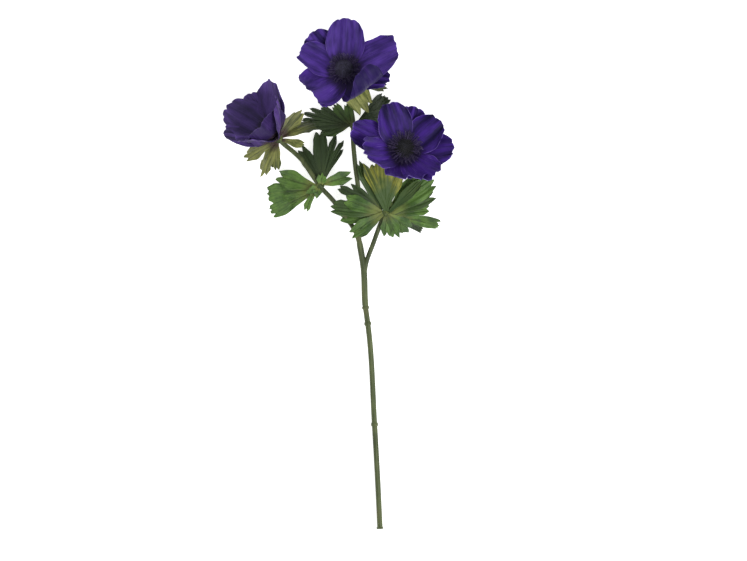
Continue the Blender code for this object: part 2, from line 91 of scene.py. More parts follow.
# ends and depth: the scallops of a petal's end; pleat, folds and phase: its lengthwise
# folds; tone: from dark to light, partly the petal's own colour and partly painted shade
# on petals that lie in shade; late: how late it turns from its root lift to its tip lift;
# skew: how much further its clockwise corner reaches; point: how far it juts, and at
# which side; curl: how far its end turns up; ruffle: the short waves of its end
Petal = namedtuple(
    "Petal",
    "azimuth length width root_lift tip_lift layer cup ends pleat tone"
    " late depth skew point point_side folds phase curl ruffle",
    defaults=(1.0, 0.032, 0.0, 0.0, 0.0, 3.0, 0.0, 0.0, 0.5),
)
Bract = namedtuple("Bract", "azimuth length spread root_lift tip_lift tone")

TOP_PETALS = [
    Petal(87, 50, 38, 28, 31, 2, 4, 3, 0.5, 0.4, depth=0.03, folds=3.4, phase=0.5),
    Petal(133, 48, 37, 18, 26, 0, 1, 3, 1.5, 0.25, depth=0.025, folds=2.4, phase=0.9),
    Petal(159, 46, 32, 24, 20, 1, 4, 2, 0.5, 0.4, depth=0.02, point=0.1, point_side=-0.72,
          folds=1.4, curl=1.0),
    Petal(219, 51, 46, 10, 58, 1, 1, 2, 1.9, 0.6, late=2.2, folds=1.4, phase=0.7, curl=3.0),
    Petal(242, 42, 24, 4, 18, 0, 2, 2, 0.9, 0.65, point=0.04, folds=2.0),
    Petal(309, 62, 45, -8, 170, 2, 2, 2, 0.6, -0.6, late=1.5, skew=-0.12, folds=1.6, phase=1.2, ruffle=0.6),
    Petal(16, 56, 42, 22, 26, 1, 3, 2, 1.0, 0.55, skew=-0.03, point=0.08, point_side=-0.74,
          folds=1.8, phase=-0.8),
    Petal(344, 44, 26, 12, 16, 0, 1, 3, 0.9, 0.15, depth=0.06),
]
RIGHT_PETALS = [
    Petal(133, 47, 36, 32, 34, 2, 6, 2, 1.1, 0.15, folds=1.8, phase=3.1, curl=-1.5, ruffle=0.8),
    Petal(94, 43, 32, 20, 26, 0, 1, 3, 0.9, 0.2),
    Petal(52, 44, 36, 24, 36, 2, 4, 3, 1.2, 0.15, depth=0.05, folds=2.0, phase=0.4, ruffle=0.7),
    Petal(17, 47, 35, 14, 24, 0, 1, 3, 1.0, 0.2, depth=0.05, folds=2.2, ruffle=0.8),
    Petal(322, 50, 37, 14, 66, 1, 4, 2, 1.0, 1.15, late=1.5, folds=2.2, curl=-3.0, ruffle=0.9),
    Petal(289, 51, 42, 8, 86, 0, 3, 3, 1.5, 1.2, late=1.4, folds=2.6, curl=-3.0, ruffle=0.8),
    Petal(218, 55, 36, 20, 60, 2, 5, 2, 1.2, 0.8, late=1.4, folds=2.4, phase=1.0, ruffle=0.8),
    Petal(182, 55, 34, 16, 22, 1, 1, 2, 0.9, 0.65, folds=2.0, ruffle=0.8),
]
LEFT_PETALS = [
    Petal(24, 51, 36, 38, 52, 2, 8, 2, 0.7, 0.6, point=0.07, point_side=-0.1, folds=1.6),
    Petal(78, 47, 34, 32, 50, 0, 2, 3, 0.6, 0.3, depth=0.04),
    Petal(109, 52, 38, 36, 45, 2, 6, 4, 0.8, 0.1, depth=0.05, folds=2.2),
    Petal(148, 48, 30, 37, 48, 0, 2, 3, 0.8, 0.15, depth=0.05),
    Petal(198, 44, 34, 47, 60, 1, 5, 2, 0.8, 0.3, depth=0.04),
    Petal(272, 46, 44, 44, 84, 2, 8, 3, 0.8, -0.6, folds=2.0),
    Petal(324, 49, 38, 40, 76, 1, 4, 2, 0.7, 0.5),
]
TOP_BRACTS = [
    Bract(308, 38, 27, -14, -38, 0.0),
    Bract(244, 28, 13, -20, -46, 0.3),
    Bract(349, 40, 11, -6, -18, 0.5),
    Bract(190, 30, 15, -14, -36, 0.9),
    Bract(136, 30, 15, -8, -24, 0.6),
    Bract(90, 30, 15, -8, -24, 0.6),
    Bract(40, 30, 15, -8, -24, 0.7),
]
LEFT_BRACTS = [
    Bract(20, 35, 21, -4, -16, 0.15),
    Bract(358, 37, 19, -20, -38, 0.55),
    Bract(298, 24, 13, -18, -38, 0.2),
    Bract(208, 28, 17, -18, -38, 0.4),
    Bract(180, 38, 19, -18, -38, 0.0),
    Bract(152, 38, 18, 4, -4, 0.0),
    Bract(104, 31, 18, -10, -28, 0.5),
    Bract(62, 30, 17, -10, -28, 0.4),
]
BLOOMS = [
    Bloom("top", (-35.3, 446.5, 46), (0.0, 0.42, 0.907), 9.5, 18, 9.35, TOP_PETALS, TOP_BRACTS),
    Bloom("right", (22.6, 369.5, 48), (0.13, 0.40, 0.907), 10, 19.5, 11.05, RIGHT_PETALS, []),
    Bloom("left", (-102.4, 386, 27), (-0.535, 0.513, 0.67), 7.5, 13, 14.45, LEFT_PETALS, LEFT_BRACTS),
]
PETAL_THICK = 0.55
PETAL_ROOT_SHARE = 0.26
PETAL_SWELL = 0.66
PETAL_END_ROUND = 0.22
PETAL_END_POWER = 2.9
PETAL_WAVE = 1.1
PETAL_ACROSS = 60
PETAL_ALONG = 40
PETAL_ROOT_RADIUS = 3.0
SCALLOP_MIDDLE = 0.6  # of the scallops' depth
NICK_DEPTH = 0.12
POINT_HALF = 0.15
SIDE_RIPPLE = 0.03
SECOND_FOLD = 0.45  # beside the first
FULL_PLEAT = 1.3  # folds of this height show their light and shade in full
CURL_START = 0.66
RIDGE_HEIGHT = 0.14
RIDGES = 15
LAYER_HEIGHTS = (0.9, 2.0, 3.1)
RECEPTACLE_HEIGHT = 4.0
RECEPTACLE_SIDES = 32
RECEPTACLE_PROFILE = [(4.0, 0), (7.2, 0.5), (7.5, 1.2), (7.5, 2.8), (7.2, 3.4), (6.0, RECEPTACLE_HEIGHT)]
RIM_THIN = 0.45  # a blade's thickness at its rim beside its thickness inside
SIDE_RIM = 7  # how soon a blade thickens inwards from its sides
END_RIM = 9
BEND_REACH = 1.3  # how far past a blade's length its bend goes on
BEND_STEPS = 130

# ---- leaves
# reach: how far from the branch a lobe's end lies, seen from above; tone: from fresh to
# dark, which is painted shade on leaves that lie in shade and greener ends on bracts;
# over: how far up the sheath its root sits; sweep: how far its end swings clockwise;
# keel: how its halves fold up; neck: how late it widens
Lobe = namedtuple(
    "Lobe",
    "bearing reach width teeth root_pitch tip_pitch tone over sweep keel neck",
    defaults=(0.2, 0.0, 0.26, 1.3),
)
LEAF_THICK = 0.55
LOBE_WIDEST = 0.78
LOBE_ROOT = 0.28
LOBE_END_ROUND = 0.42  # of the lobe's width
LOBE_END_POWER = 1.8
TOOTH_DEPTH = 0.95  # of a tooth's own width
TOOTH_STEPS = 12
TOOTH_SIZES = (0.6, 1.3)
LOBE_ALONG = 26
LOBE_LENGTH = 50.0  # of a lobe with waves of the heights that follow
LOBE_WOBBLE = 0.8
LOBE_TWIST = 1.2
LOBE_RIPPLE = 0.08
VEIN_HALF = 0.5
VEIN_DEPTH = 0.3
RIB_HALF = 0.34
RIB_SHARE = 0.75  # of the middle vein's depth
PITCH_DRAWS = (3, 4)  # how far a lobe's root and tip pitch may stray from the table's
BRACT_DROP = 6.0
BRACT_WIDTH = 0.8
BRACT_TEETH = 3
BRACT_SWEEP = 0.08
BRACT_KEEL = -0.15
BRACT_LATE = 1.6
LEFT_LEAVES = [
    Lobe(162, 42, 18, 2, -16, -44, 0.1),
    Lobe(186, 52, 18, 3, -23, -60, 0.15),
    Lobe(208, 54, 15, 3, -26, -58, 0.2),
    Lobe(117, 42, 14, 2, -19, -26, 0.9, sweep=-0.05, neck=1.7),
    Lobe(93, 54, 15, 2, -17, -24, 1.0, neck=1.5),
    Lobe(79, 50, 7, 1, -19, -26, 0.95, sweep=0.06),
    Lobe(73, 49, 5, 1, -21, -28, 0.85, sweep=0.14),
    Lobe(69, 41, 5, 1, -24, -30, 0.9, sweep=0.14),
    Lobe(17, 31, 13, 2, 6, -12, 0.15),
    Lobe(233, 27, 7, 2, -10, -40, 0.3, sweep=-0.15),
    Lobe(262, 12, 9, 1, 20, -40, -0.2, 0.9),
    Lobe(84, 12, 10, 3, 14, -10, -0.2, 1.2),
    Lobe(205, 13, 9, 1, 24, -30, -0.1, 1.0),
]
RIGHT_LEAVES = [
    Lobe(144, 52, 9, 2, 14, -8, 0.9, 0.3, sweep=-0.1),
    Lobe(137, 42, 8, 1, 12, -6, 0.7, 0.3),
    Lobe(160, 43, 15, 2, 16, -12, 0.3, 0.5),
    Lobe(173, 53, 16, 3, 12, -14, 0.6, 0.5),
    Lobe(187, 45, 13, 2, 8, -20, 0.4, 0.5),
    Lobe(214, 38, 14, 2, 12, 0, 0.4, 0.9),
    Lobe(223, 33, 8, 2, 10, 0, 0.55, 0.9),
    Lobe(272, 21, 12, 2, 6, -36, 0.55, 0.6),
    Lobe(292, 25, 13, 2, 4, -40, 0.4, 0.6),
    Lobe(311, 25, 9, 1, 2, -40, 0.5, 0.6),
    Lobe(328, 29, 14, 2, -6, -50, 0.1, 0.3),
    Lobe(336, 40, 6, 2, -14, -60, 0.9, 0.2),
    Lobe(350, 54, 11, 3, -20, -64, -0.2, 0.2),
    Lobe(9, 44, 11, 2, -4, -24, 0.2, -0.1),
    Lobe(23, 50, 14, 2, 2, -14, 0.6, -0.1),
    Lobe(37, 57, 19, 3, 6, -10, 0.3, -0.1),
    Lobe(50, 52, 17, 2, 4, -12, 0.0, -0.1),
    Lobe(117, 50, 9, 1, 6, 4, 0.6, 0.0),
]
TOP_LEAVES = [
    Lobe(157, 45, 4.5, 1, -14, -36, 0.9, -0.2),
    Lobe(165, 50, 5.5, 1, -18, -46, 0.95, -0.2),
    Lobe(173, 50, 6, 1, -20, -48, 0.85, -0.2),
    Lobe(180, 42, 9, 3, -22, -48, 0.9, -0.3),
    Lobe(191, 33, 10, 2, -24, -44, 0.7, -0.4),
    Lobe(202, 27, 8, 1, -24, -40, 0.6, -0.4),
    Lobe(149, 36, 8, 3, -6, -30, 0.95, 0.2),
    Lobe(130, 27, 9, 3, 10, -12, 0.55, 0.7),
    Lobe(104, 21, 8, 3, 12, -10, 0.5, 0.7),
    Lobe(49, 42, 8, 2, -18, -50, 1.0, -0.4),
    Lobe(40, 44, 8, 2, -20, -56, 1.0, -0.4),
    Lobe(22, 31, 13, 3, -16, -44, 0.75, -0.4),
    Lobe(7, 24, 10, 3, -14, -36, 0.7, -0.3),
]
# Each branch's whorl, with the branch point nearest to it
WHORLS = [("top", 6, TOP_LEAVES), ("right", 4, RIGHT_LEAVES), ("left", 4, LEFT_LEAVES)]
# A sheath's radii, at shares of its half height
SHEATH_PROFILE = [(2.35, -1), (3.05, -1), (3.85, -0.6), (4.25, 0), (4.05, 0.5), (3.25, 1), (2.35, 1)]
SHEATH_HALF = 3.2
BRACT_SHEATH_HALF = 2.4
SHEATH_SIDES = 40
SHEATH_SLOT = 2  # after the upper and the lower side of the leaves
SHEATH_LOBES = 5
SHEATH_LOBE_DEPTH = 0.07
LEAF_ROOT_RADIUS = 3.35
RIGHT_BRACT_PLACE = (9.3, 322, 25)
RIGHT_BRACT_DROP = 7.5  # how far back along the branch its roots reach
RIGHT_BRACT_LEAVES = [
    Lobe(105, 48, 15, 2, 18, 10, 0.25, 3.6, sweep=-0.1, keel=-0.4, neck=1.6),
    Lobe(92, 54, 20, 2, 20, 20, 0.0, 4.6, keel=-0.4, neck=1.8),
    Lobe(76, 40, 13, 2, 18, 10, 0.0, 3.6, sweep=0.1, keel=-0.4, neck=1.6),
    Lobe(116, 50, 9, 1, 8, 12, 0.9, 0.2),
    Lobe(44, 44, 11, 3, 14, 8, 1.2, 0.2),
]

# ---- hearts
DOME_SIDES = 32
DOME_STEPS = 8
DOME_FOOT_RADIUS = 3.6
DOME_FLARE = [(0.55, 2.0), (0.9, 4.6)]  # shares of the dome's radius, at heights over its foot
DOME_CAP_START = 6.0
DOME_CAP_SHARE = 0.95
DOME_HEIGHT = 6.4
GRAINS = 460
GRAINS_SPREAD = 1.12  # 1 ends them at the foot of the dome's cap, and more goes past it
BEAD_SIDES = 5
GRAIN_PROFILE = [(0, -0.4), (0.5, 0.0), (0.32, 0.45), (0, 0.75)]
GOLDEN_TURN = math.pi * (3 - math.sqrt(5))
STAMENS = 210
STAMEN_RINGS = 5
SHORTEST_STAMEN = 0.66  # of the full reach
RING_GROWTH = 0.075
RING_LEAN = -0.11
HEART_SEED = 11
THREAD_START = 5.0
THREAD_FOOT = RECEPTACLE_HEIGHT + 1.5
THREAD_STATIONS = 5
THREAD_SIDES = 4
THREAD_HALF = 0.19
THREAD_TILT = 0.4
ANTHER_PROFILE = [(0, -1.0), (0.42, -0.6), (0.52, 0.1), (0, 0.9)]
ANTHER_ALONG = (0.75, 0.35)  # outwards and upwards
ANTHER_ACROSS = (-0.5, 0.85)

# ---- finishes
# Colours are everyday 0 to 255 values.
# A petal's deep and bright colours, blended by the painted light and shade of its folds, by its tone and by
# random streaks; its root and rim; and how much of the pale rim shows
PETAL_COLOURS = {
    "top_petal_face": ((34, 18, 80), (84, 54, 152), (46, 36, 70), (126, 102, 184), 0.2),
    "top_petal_back": ((30, 16, 72), (74, 46, 130), (50, 38, 50), (104, 82, 164), 0.1),
    "right_petal_face": ((22, 10, 60), (68, 36, 136), (24, 17, 38), (130, 104, 192), 0.32),
    "right_petal_back": ((24, 12, 60), (64, 34, 126), (44, 32, 44), (118, 94, 178), 0.2),
    "left_petal_face": ((56, 46, 86), (98, 74, 150), (44, 40, 54), (110, 90, 156), 0.12),
    "left_petal_back": ((44, 28, 78), (92, 62, 142), (62, 44, 52), (112, 90, 156), 0.12),
}
# A leaf's hollows, crowns, root, veins and shaded parts
LEAF_COLOURS = {
    "leaf_face": ((48, 76, 30), (102, 138, 58), (122, 124, 62), (138, 156, 84), (46, 60, 36)),
    "leaf_back": ((66, 88, 48), (104, 128, 72), (116, 116, 66), (134, 148, 92), (50, 60, 42)),
}
# A bract's dark and light stripes, root and end, and how much further the root's colour reaches
BRACT_COLOURS = {
    "bract_face": ((82, 92, 42), (158, 162, 90), (84, 66, 56), (46, 58, 32), 0.0),
    "bract_back": ((88, 94, 50), (146, 150, 86), (84, 68, 58), (52, 62, 38), 0.0),
    "sunny_bract_face": ((66, 78, 30), (148, 148, 58), (62, 84, 38), (52, 76, 34), 0.32),
    "sunny_bract_back": ((64, 76, 32), (132, 134, 60), (60, 80, 38), (52, 74, 36), 0.32),
}
# The hollows and the lit grains of a heart
HEART_COLOURS = {
    "top_dome_skin": ((42, 40, 56), (80, 76, 102)),
    "right_dome_skin": ((10, 10, 12), (34, 35, 42)),
    "left_dome_skin": ((16, 14, 22), (40, 36, 54)),
    "stamen_skin": ((42, 35, 62), (88, 74, 116)),
}

# ---- stage, in metres
TABLE_HALF = 6.0
TABLE_LEVEL = -0.0003
TABLE_COLOUR = (0.9, 0.9, 0.9, 1)
WHITE = (1, 1, 1, 1)
TABLE_GLOW = 0.75
SKY_STRENGTH = 0.42
KEY_LIGHT = ("key", (0.9, -0.5, 1.8), 0.9, 30)  # name, place, side and power
FILL_LIGHT = ("fill", (-1.2, 0.8, 2.2), 2.0, 9)
LIGHT_TARGET = (0.0, 0.05, 0.0)
CAMERA_PLACE = (0.0347, -0.0052, 6.0)
VIEW_WIDTH = 0.732  # of what the camera sees at the view height
VIEW_HEIGHT = 0.03
SENSOR_WIDTH = 36.0


def paint(red, green, blue):
    """A linear colour from its everyday 0 to 255 values."""
    shares = [value / 255 for value in (red, green, blue)]
    return (*[s / 12.92 if s <= 0.04045 else ((s + 0.055) / 1.055) ** 2.4 for s in shares], 1.0)


# ======== nodes
# the third mark holds veins on leaves and bracts and the painted light and shade of the folds on petals;
# the last holds a tone, which is painted shade on leaves, partly painted shade on petals and greener ends
# on bracts
MARKS = ("across", "along", "vein", "tone")  # numbers that a mesh carries at its points


def sign(operation):
    """The method of a wire for an arithmetic sign after it, and the one for a sign before it."""

    def after(wire, other):
        return wire.graph.math(operation, wire, other)

    def before(wire, other):
        return wire.graph.math(operation, other, wire)

    return after, before


class Wire:
    """A node's output. Arithmetic on it adds Math nodes to its graph."""

    def __init__(self, graph, socket):
        self.graph = graph
        self.socket = socket

    __add__, __radd__ = sign("ADD")
    __sub__, __rsub__ = sign("SUBTRACT")
    __mul__, __rmul__ = sign("MULTIPLY")
    __truediv__, __rtruediv__ = sign("DIVIDE")
    __mod__, __rmod__ = sign("MODULO")

    def __abs__(self):
        return self.graph.math("ABSOLUTE", self)


class Graph:
    """A node tree and the one method that adds nodes to it."""

    def __init__(self, tree):
        self.tree = tree

    def add(self, kind, settings=None, values=None):
        """A new node, with its settings first and then the values or wires of its sockets."""
        made = self.tree.nodes.new(kind)
        for name, value in (settings or {}).items():
            setattr(made, name, value)
        for key, value in (values or {}).items():
            self.feed(made.inputs[key], value)
        return made

    def node(self, kind, settings=None, values=None, output=0):
        """One output of a new node."""
        return Wire(self, self.add(kind, settings, values).outputs[output])

    def feed(self, socket, value):
        """Links a wire to a socket, or sets the socket's value."""
        if isinstance(value, Wire):
            self.tree.links.new(value.socket, socket)
        else:
            socket.default_value = value

    def math(self, operation, *values):
        return self.node("ShaderNodeMath", {"operation": operation}, dict(enumerate(values)))

    def between(self, value, low, high):
        """0 where the value is at or under low, 1 at or over high, and smooth between them."""
        values = {"Value": value, "From Min": low, "From Max": high}
        return self.node("ShaderNodeMapRange", {"interpolation_type": "SMOOTHSTEP"}, values)

    def vector(self, x, y, z):
        return self.node("ShaderNodeCombineXYZ", values={"X": x, "Y": y, "Z": z})


class Finish(Graph):
    """A Principled material and the graph behind it."""

    def __init__(self, name, roughness, specular, sheen=0.0):
        self.material = bpy.data.materials.new(name)
        self.material.use_nodes = True
        super().__init__(self.material.node_tree)
        self.wear({"Roughness": roughness, "Specular IOR Level": specular, "Sheen Weight": sheen})

    def wear(self, values):
        """Sets or links sockets of the shader."""
        shader = self.tree.nodes["Principled BSDF"]
        for socket, value in values.items():
            self.feed(shader.inputs[socket], value)

    def mark(self, name):
        """A number that the piece's mesh carries at each of its points."""
        return self.node("ShaderNodeAttribute", {"attribute_name": name}, output="Fac")

    def mix(self, low, high, share):
        """A blend of two colours, each a wire or everyday 0 to 255 values."""
        low, high = (colour if isinstance(colour, Wire) else paint(*colour) for colour in (low, high))
        values = {"Factor": share, 6: low, 7: high}  # sockets 6 and 7 take the colours
        return self.node("ShaderNodeMix", {"data_type": "RGBA"}, values, output=2)

    def noise(self, place, scale, detail=3.0, roughness=0.55):
        values = {"Vector": place, "Scale": scale, "Detail": detail, "Roughness": roughness}
        return self.node("ShaderNodeTexNoise", values=values)

    def place(self):
        return self.node("ShaderNodeTexCoord", output="Object")

    def done(self, colour, height, distance, strength, **others):
        """The material, with a colour, a bump and what else varies over the surface."""
        values = {"Height": height, "Distance": distance, "Strength": strength}
        normal = self.node("ShaderNodeBump", values=values)
        self.wear({"Base Color": colour, "Normal": normal, **others})
        return self.material


def petal_finish(name, deep, bright, root, rim, pale):
    """Violet with painted shade in its folds and painted light on their crowns, deeper at the root, with
    soft veins and a pale thin rim.
    """
    made = Finish(name, 0.5, 0.16, sheen=0.04)
    across, along, fold, tone = (made.mark(mark) for mark in MARKS)
    broad = made.noise(made.vector(across * 2.2, along * 1.6, tone * 17), 1.3)
    streaks = made.noise(made.vector(across * 8, along * 0.9, tone * 29), 1.6, 4.0, 0.6)
    fine = made.noise(made.vector(across * 34, along * 2.2, tone * 41), 1.4, 3.0, 0.6)
    grain = made.noise(made.place(), 520)
    # painted light and shade of the folds, the tone (partly painted shade) and random streaks set how
    # bright the violet is
    light = fold * 0.3 + broad * 0.75 + streaks * 0.38 + fine * 0.14 + tone * 0.25
    body = made.mix(deep, bright, made.between(light, 0.46, 1.02))
    hair = made.between(fine, 0.56, 0.72) * made.between(along, 0.2, 0.34)
    hair = hair * (1 - made.between(along, 0.4, 0.85)) * made.between(tone, 0.35, 0.6)
    body = made.mix(body, rim, hair * pale * 2)
    foot = 1 - made.between(along + (streaks - 0.5) * 0.28 + (fine - 0.5) * 0.12, 0.20, 0.40)
    body = made.mix(body, root, foot * 0.9)
    edge = made.between(abs(across), 0.972, 1.0)
    tip = made.between(along, 0.978, 1.0)
    outline = made.math("MAXIMUM", edge, tip) * made.between(along, 0.3, 0.5)
    body = made.mix(body, rim, outline * made.between(broad, 0.35, 0.6) * pale * 3)
    height = streaks * 0.5 + fine * 0.45 + grain * 0.15
    return made.done(body, height, 0.0008, 0.5, Roughness=0.42 + streaks * 0.25)


def leaf_finish(name, deep, fresh, warm, vein, dark):
    """Green that is warmer at the root, with paler veins, painted shade along the middle fold and more
    painted shade on leaves that lie in shade.
    """
    made = Finish(name, 0.5, 0.35, sheen=0.08)
    across, along, ribs, tone = (made.mark(mark) for mark in MARKS)
    place = made.place()
    cloud = made.noise(place, 42)
    mottle = made.noise(place, 190, 4.0, 0.6)
    grain = made.noise(made.vector(across * 16, along * 3, tone * 13), 1.0)
    body = made.mix(deep, fresh, made.between(cloud * 0.7 + mottle * 0.2 + grain * 0.35, 0.46, 0.80))
    body = made.mix(body, warm, (1 - made.between(along + (cloud - 0.5) * 0.4, 0.10, 0.50)) * 0.7)
    body = made.mix(body, vein, made.between(ribs, 0.25, 0.9) * 0.35)
    # painted shade along the lobe's middle fold, from a little past the root to past halfway
    crease_shade = 1 - made.between(abs(across + (cloud - 0.5) * 0.5), 0.02, 0.30)
    crease_shade = crease_shade * made.between(along, 0.16, 0.34)
    crease_shade = crease_shade * (1 - made.between(along + (grain - 0.5) * 0.3, 0.5, 0.82))
    body = made.mix(body, dark, crease_shade * 0.62)
    shade = made.between(tone + (cloud - 0.5) * 1.1, 0.30, 0.80)
    body = made.mix(body, dark, shade * 0.88)
    height = mottle * 0.35 + grain * 0.5 - ribs * 0.35
    return made.done(body, height, 0.0007, 0.6, Roughness=0.42 + mottle * 0.25)


def bract_finish(name, olive, yellow, foot, tip_green, foot_reach):
    """Yellow-green with lengthwise stripes, another colour at the root and green at the end."""
    made = Finish(name, 0.5, 0.3, sheen=0.08)
    across, along, ribs, tone = (made.mark(mark) for mark in MARKS)
    stripes = made.noise(made.vector(across * 3.4, along * 0.8, tone * 19), 1.6, 4.0, 0.6)
    cloud = made.noise(made.place(), 80)
    body = made.mix(olive, yellow, made.between(stripes * 0.75 + cloud * 0.35, 0.42, 0.68))
    body = made.mix(body, foot, 1 - made.between(along + (cloud - 0.5) * 0.3 - foot_reach, 0.08, 0.42))
    ends = made.between(tone + along * 0.6 + (cloud - 0.5) * 0.5, 0.72, 1.1)
    body = made.mix(body, tip_green, ends * 0.9)
    height = stripes * 0.8 + cloud * 0.2 - ribs * 0.3
    return made.done(body, height, 0.0008, 0.6, Roughness=0.46 + stripes * 0.2)


def stem_finish():
    """Olive green with fine lengthwise streaks and slight brown clouds."""
    made = Finish("stem_skin", 0.55, 0.35)
    around = made.mark("across")
    along = made.mark("along")
    streaks = made.noise(made.vector(around * 9, along * 0.02, 0.0), 1.0, 4.0, 0.6)
    cloud = made.noise(made.place(), 38)
    light = made.between(streaks * 0.6 + cloud * 0.45, 0.4, 0.66)
    body = made.mix((58, 68, 38), (92, 102, 62), light)
    body = made.mix(body, (88, 78, 48), made.between(cloud, 0.55, 0.75) * 0.4)
    return made.done(body, streaks, 0.0004, 0.5)


def sheath_finish():
    """The warmer green of the sheaths that hold the leaves, with brown flecks."""
    made = Finish("sheath_skin", 0.5, 0.35)
    place = made.place()
    cloud = made.noise(place, 140)
    fine = made.noise(place, 600)
    body = made.mix((58, 72, 36), (96, 108, 52), made.between(cloud, 0.35, 0.65))
    body = made.mix(body, (48, 44, 26), made.between(fine, 0.6, 0.8) * 0.4)
    return made.done(body, fine, 0.0005, 0.5)


def heart_finish(name):
    """Near-black with a faint blue-violet painted highlight on the raised grains."""
    made = Finish(name, 0.7, 0.2, sheen=0.1)
    place = made.place()
    grains = made.noise(place, 900)
    cloud = made.noise(place, 160, 2.0)
    dark, lit = HEART_COLOURS[name]
    # the hollows' colour, and the lit colour as a painted highlight on the grains
    body = made.mix(dark, lit, made.between(grains * 0.6 + cloud * 0.5, 0.45, 0.75))
    return made.done(body, grains, 0.0004, 0.6)


def both_sides(finish, name, colours):
    """The finishes of a blade's upper side and of its lower one."""
    names = [name + "_face", name + "_back"]
    return [finish(each, *colours[each]) for each in names]


# ======== meshes
def added(name, data):
    """A new object of that data, at the origin and in the scene."""
    made = bpy.data.objects.new(name, data)
    bpy.context.scene.collection.objects.link(made)
    return made


class Shell:
    """Gathers the blades and solids of one piece and makes one object of them."""

    def __init__(self):
        self.points = []
        self.faces = []
        self.slots = []
        self.marks = {name: [] for name in MARKS}
        self.total = 0

    def add(self, points, faces, slots, marks):
        """Points in layout millimetres, and the marks that the finishes read at each of them."""
        points = np.asarray(points, float).reshape(-1, 3)
        for face in faces:
            self.faces.append(tuple(corner + self.total for corner in face))
        self.slots.extend(slots)
        for name in MARKS:
            self.marks[name].append(np.full(len(points), marks.get(name, 0.0)))
        self.points.append(points)
        self.total += len(points)

    def finished(self, name, finishes, sharp=50):
        points = (np.concatenate(self.points) + LAYOUT_START) * MM
        mesh = bpy.data.meshes.new(name)
        mesh.from_pydata(points.tolist(), [], self.faces)
        for finish in finishes:
            mesh.materials.append(finish)
        mesh.polygons.foreach_set("material_index", self.slots)
        for mark in MARKS:
            layer = mesh.attributes.new(mark, "FLOAT", "POINT")
            layer.data.foreach_set("value", np.concatenate(self.marks[mark]).astype(np.float32))
        mesh.shade_smooth()
        mesh.set_sharp_from_angle(angle=math.radians(sharp))
        return added(name, mesh)


def grid_normals(middle):
    by_side = np.gradient(middle, axis=1)
    by_out = np.gradient(middle, axis=0)
    normal = np.cross(by_side, by_out)
    size = np.linalg.norm(normal, axis=-1, keepdims=True)
    return normal / np.maximum(size, 1e-9)


def grid_faces(rows, columns):
    """Faces of both sides of a closed blade and of its rim, with slot 1 for the lower side."""
    total = rows * columns
    number = np.arange(total).reshape(rows, columns)
    corners = [number[:-1, :-1], number[:-1, 1:], number[1:, 1:], number[1:, :-1]]
    upper = np.stack(corners, axis=-1).reshape(-1, 4)
    lower = upper[:, ::-1] + total
    loop = np.concatenate([number[0], number[1:, -1], number[-1, -2::-1], number[-2:0:-1, 0]])
    after = np.roll(loop, -1)
    rim = np.stack([after, loop, loop + total, after + total], axis=-1)
    slots = [0] * len(upper) + [1] * len(lower) + [0] * len(rim)
    return np.concatenate([upper, lower, rim]).tolist(), slots


def add_blade(shell, middle, thick, marks):
    """A closed blade round a middle surface, pressed flat where it would pass the table."""
    normal = grid_normals(middle)
    rows, columns = middle.shape[:2]
    side = np.linspace(-1, 1, columns)[None, :]
    out = np.linspace(0, 1, rows)[:, None]
    inside = np.clip((1 - abs(side)) * SIDE_RIM, 0, 1) * np.clip((1 - out) * END_RIM, 0, 1)
    half = thick / 2 * (RIM_THIN + (1 - RIM_THIN) * np.sqrt(inside))
    low = middle[..., 2] - abs(normal[..., 2]) * half < 0
    middle = middle.copy()
    middle[..., 2] = np.where(low, half, middle[..., 2])
    flat = np.stack([0 * half, 0 * half, np.where(normal[..., 2] > 0, 1.0, -1.0)], axis=-1)
    normal = np.where(low[..., None], flat, normal)
    upper = middle + normal * half[..., None]
    lower = middle - normal * half[..., None]
    faces, slots = grid_faces(rows, columns)
    both = {}
    for name, value in marks.items():
        both[name] = np.tile(np.broadcast_to(value, (rows, columns)).ravel(), 2)
    shell.add(np.concatenate([upper.reshape(-1, 3), lower.reshape(-1, 3)]), faces, slots, both)


def placed(matrix, points):
    """The points moved by a 4 by 4 matrix."""
    matrix = np.array(matrix)
    return points @ matrix[:3, :3].T + matrix[:3, 3]


def bend(x, y, length, lifts, late, rise):
    """Flat points (x across, y along) on a blade whose slope changes from root to tip."""
    root, tip = (math.radians(lift) for lift in lifts)
    share = np.linspace(0, BEND_REACH, BEND_STEPS + 1)
    slope = root + (tip - root) * share**late
    stride = length * (share[1] - share[0])
    middle = (slope[1:] + slope[:-1]) / 2
    forward = np.concatenate([[0], np.cumsum(np.cos(middle))]) * stride
    up = np.concatenate([[0], np.cumsum(np.sin(middle))]) * stride
    here = y / length
    slope = np.interp(here, share, slope)
    forward = np.interp(here, share, forward)
    up = np.interp(here, share, up)
    return np.stack([x, forward - np.sin(slope) * rise, up + np.cos(slope) * rise], axis=-1)


def wave(count, place, draw):
    """That many half waves for each unit of place, from a drawn start."""
    return np.sin(math.pi * count * place + draw.uniform(0, 6))


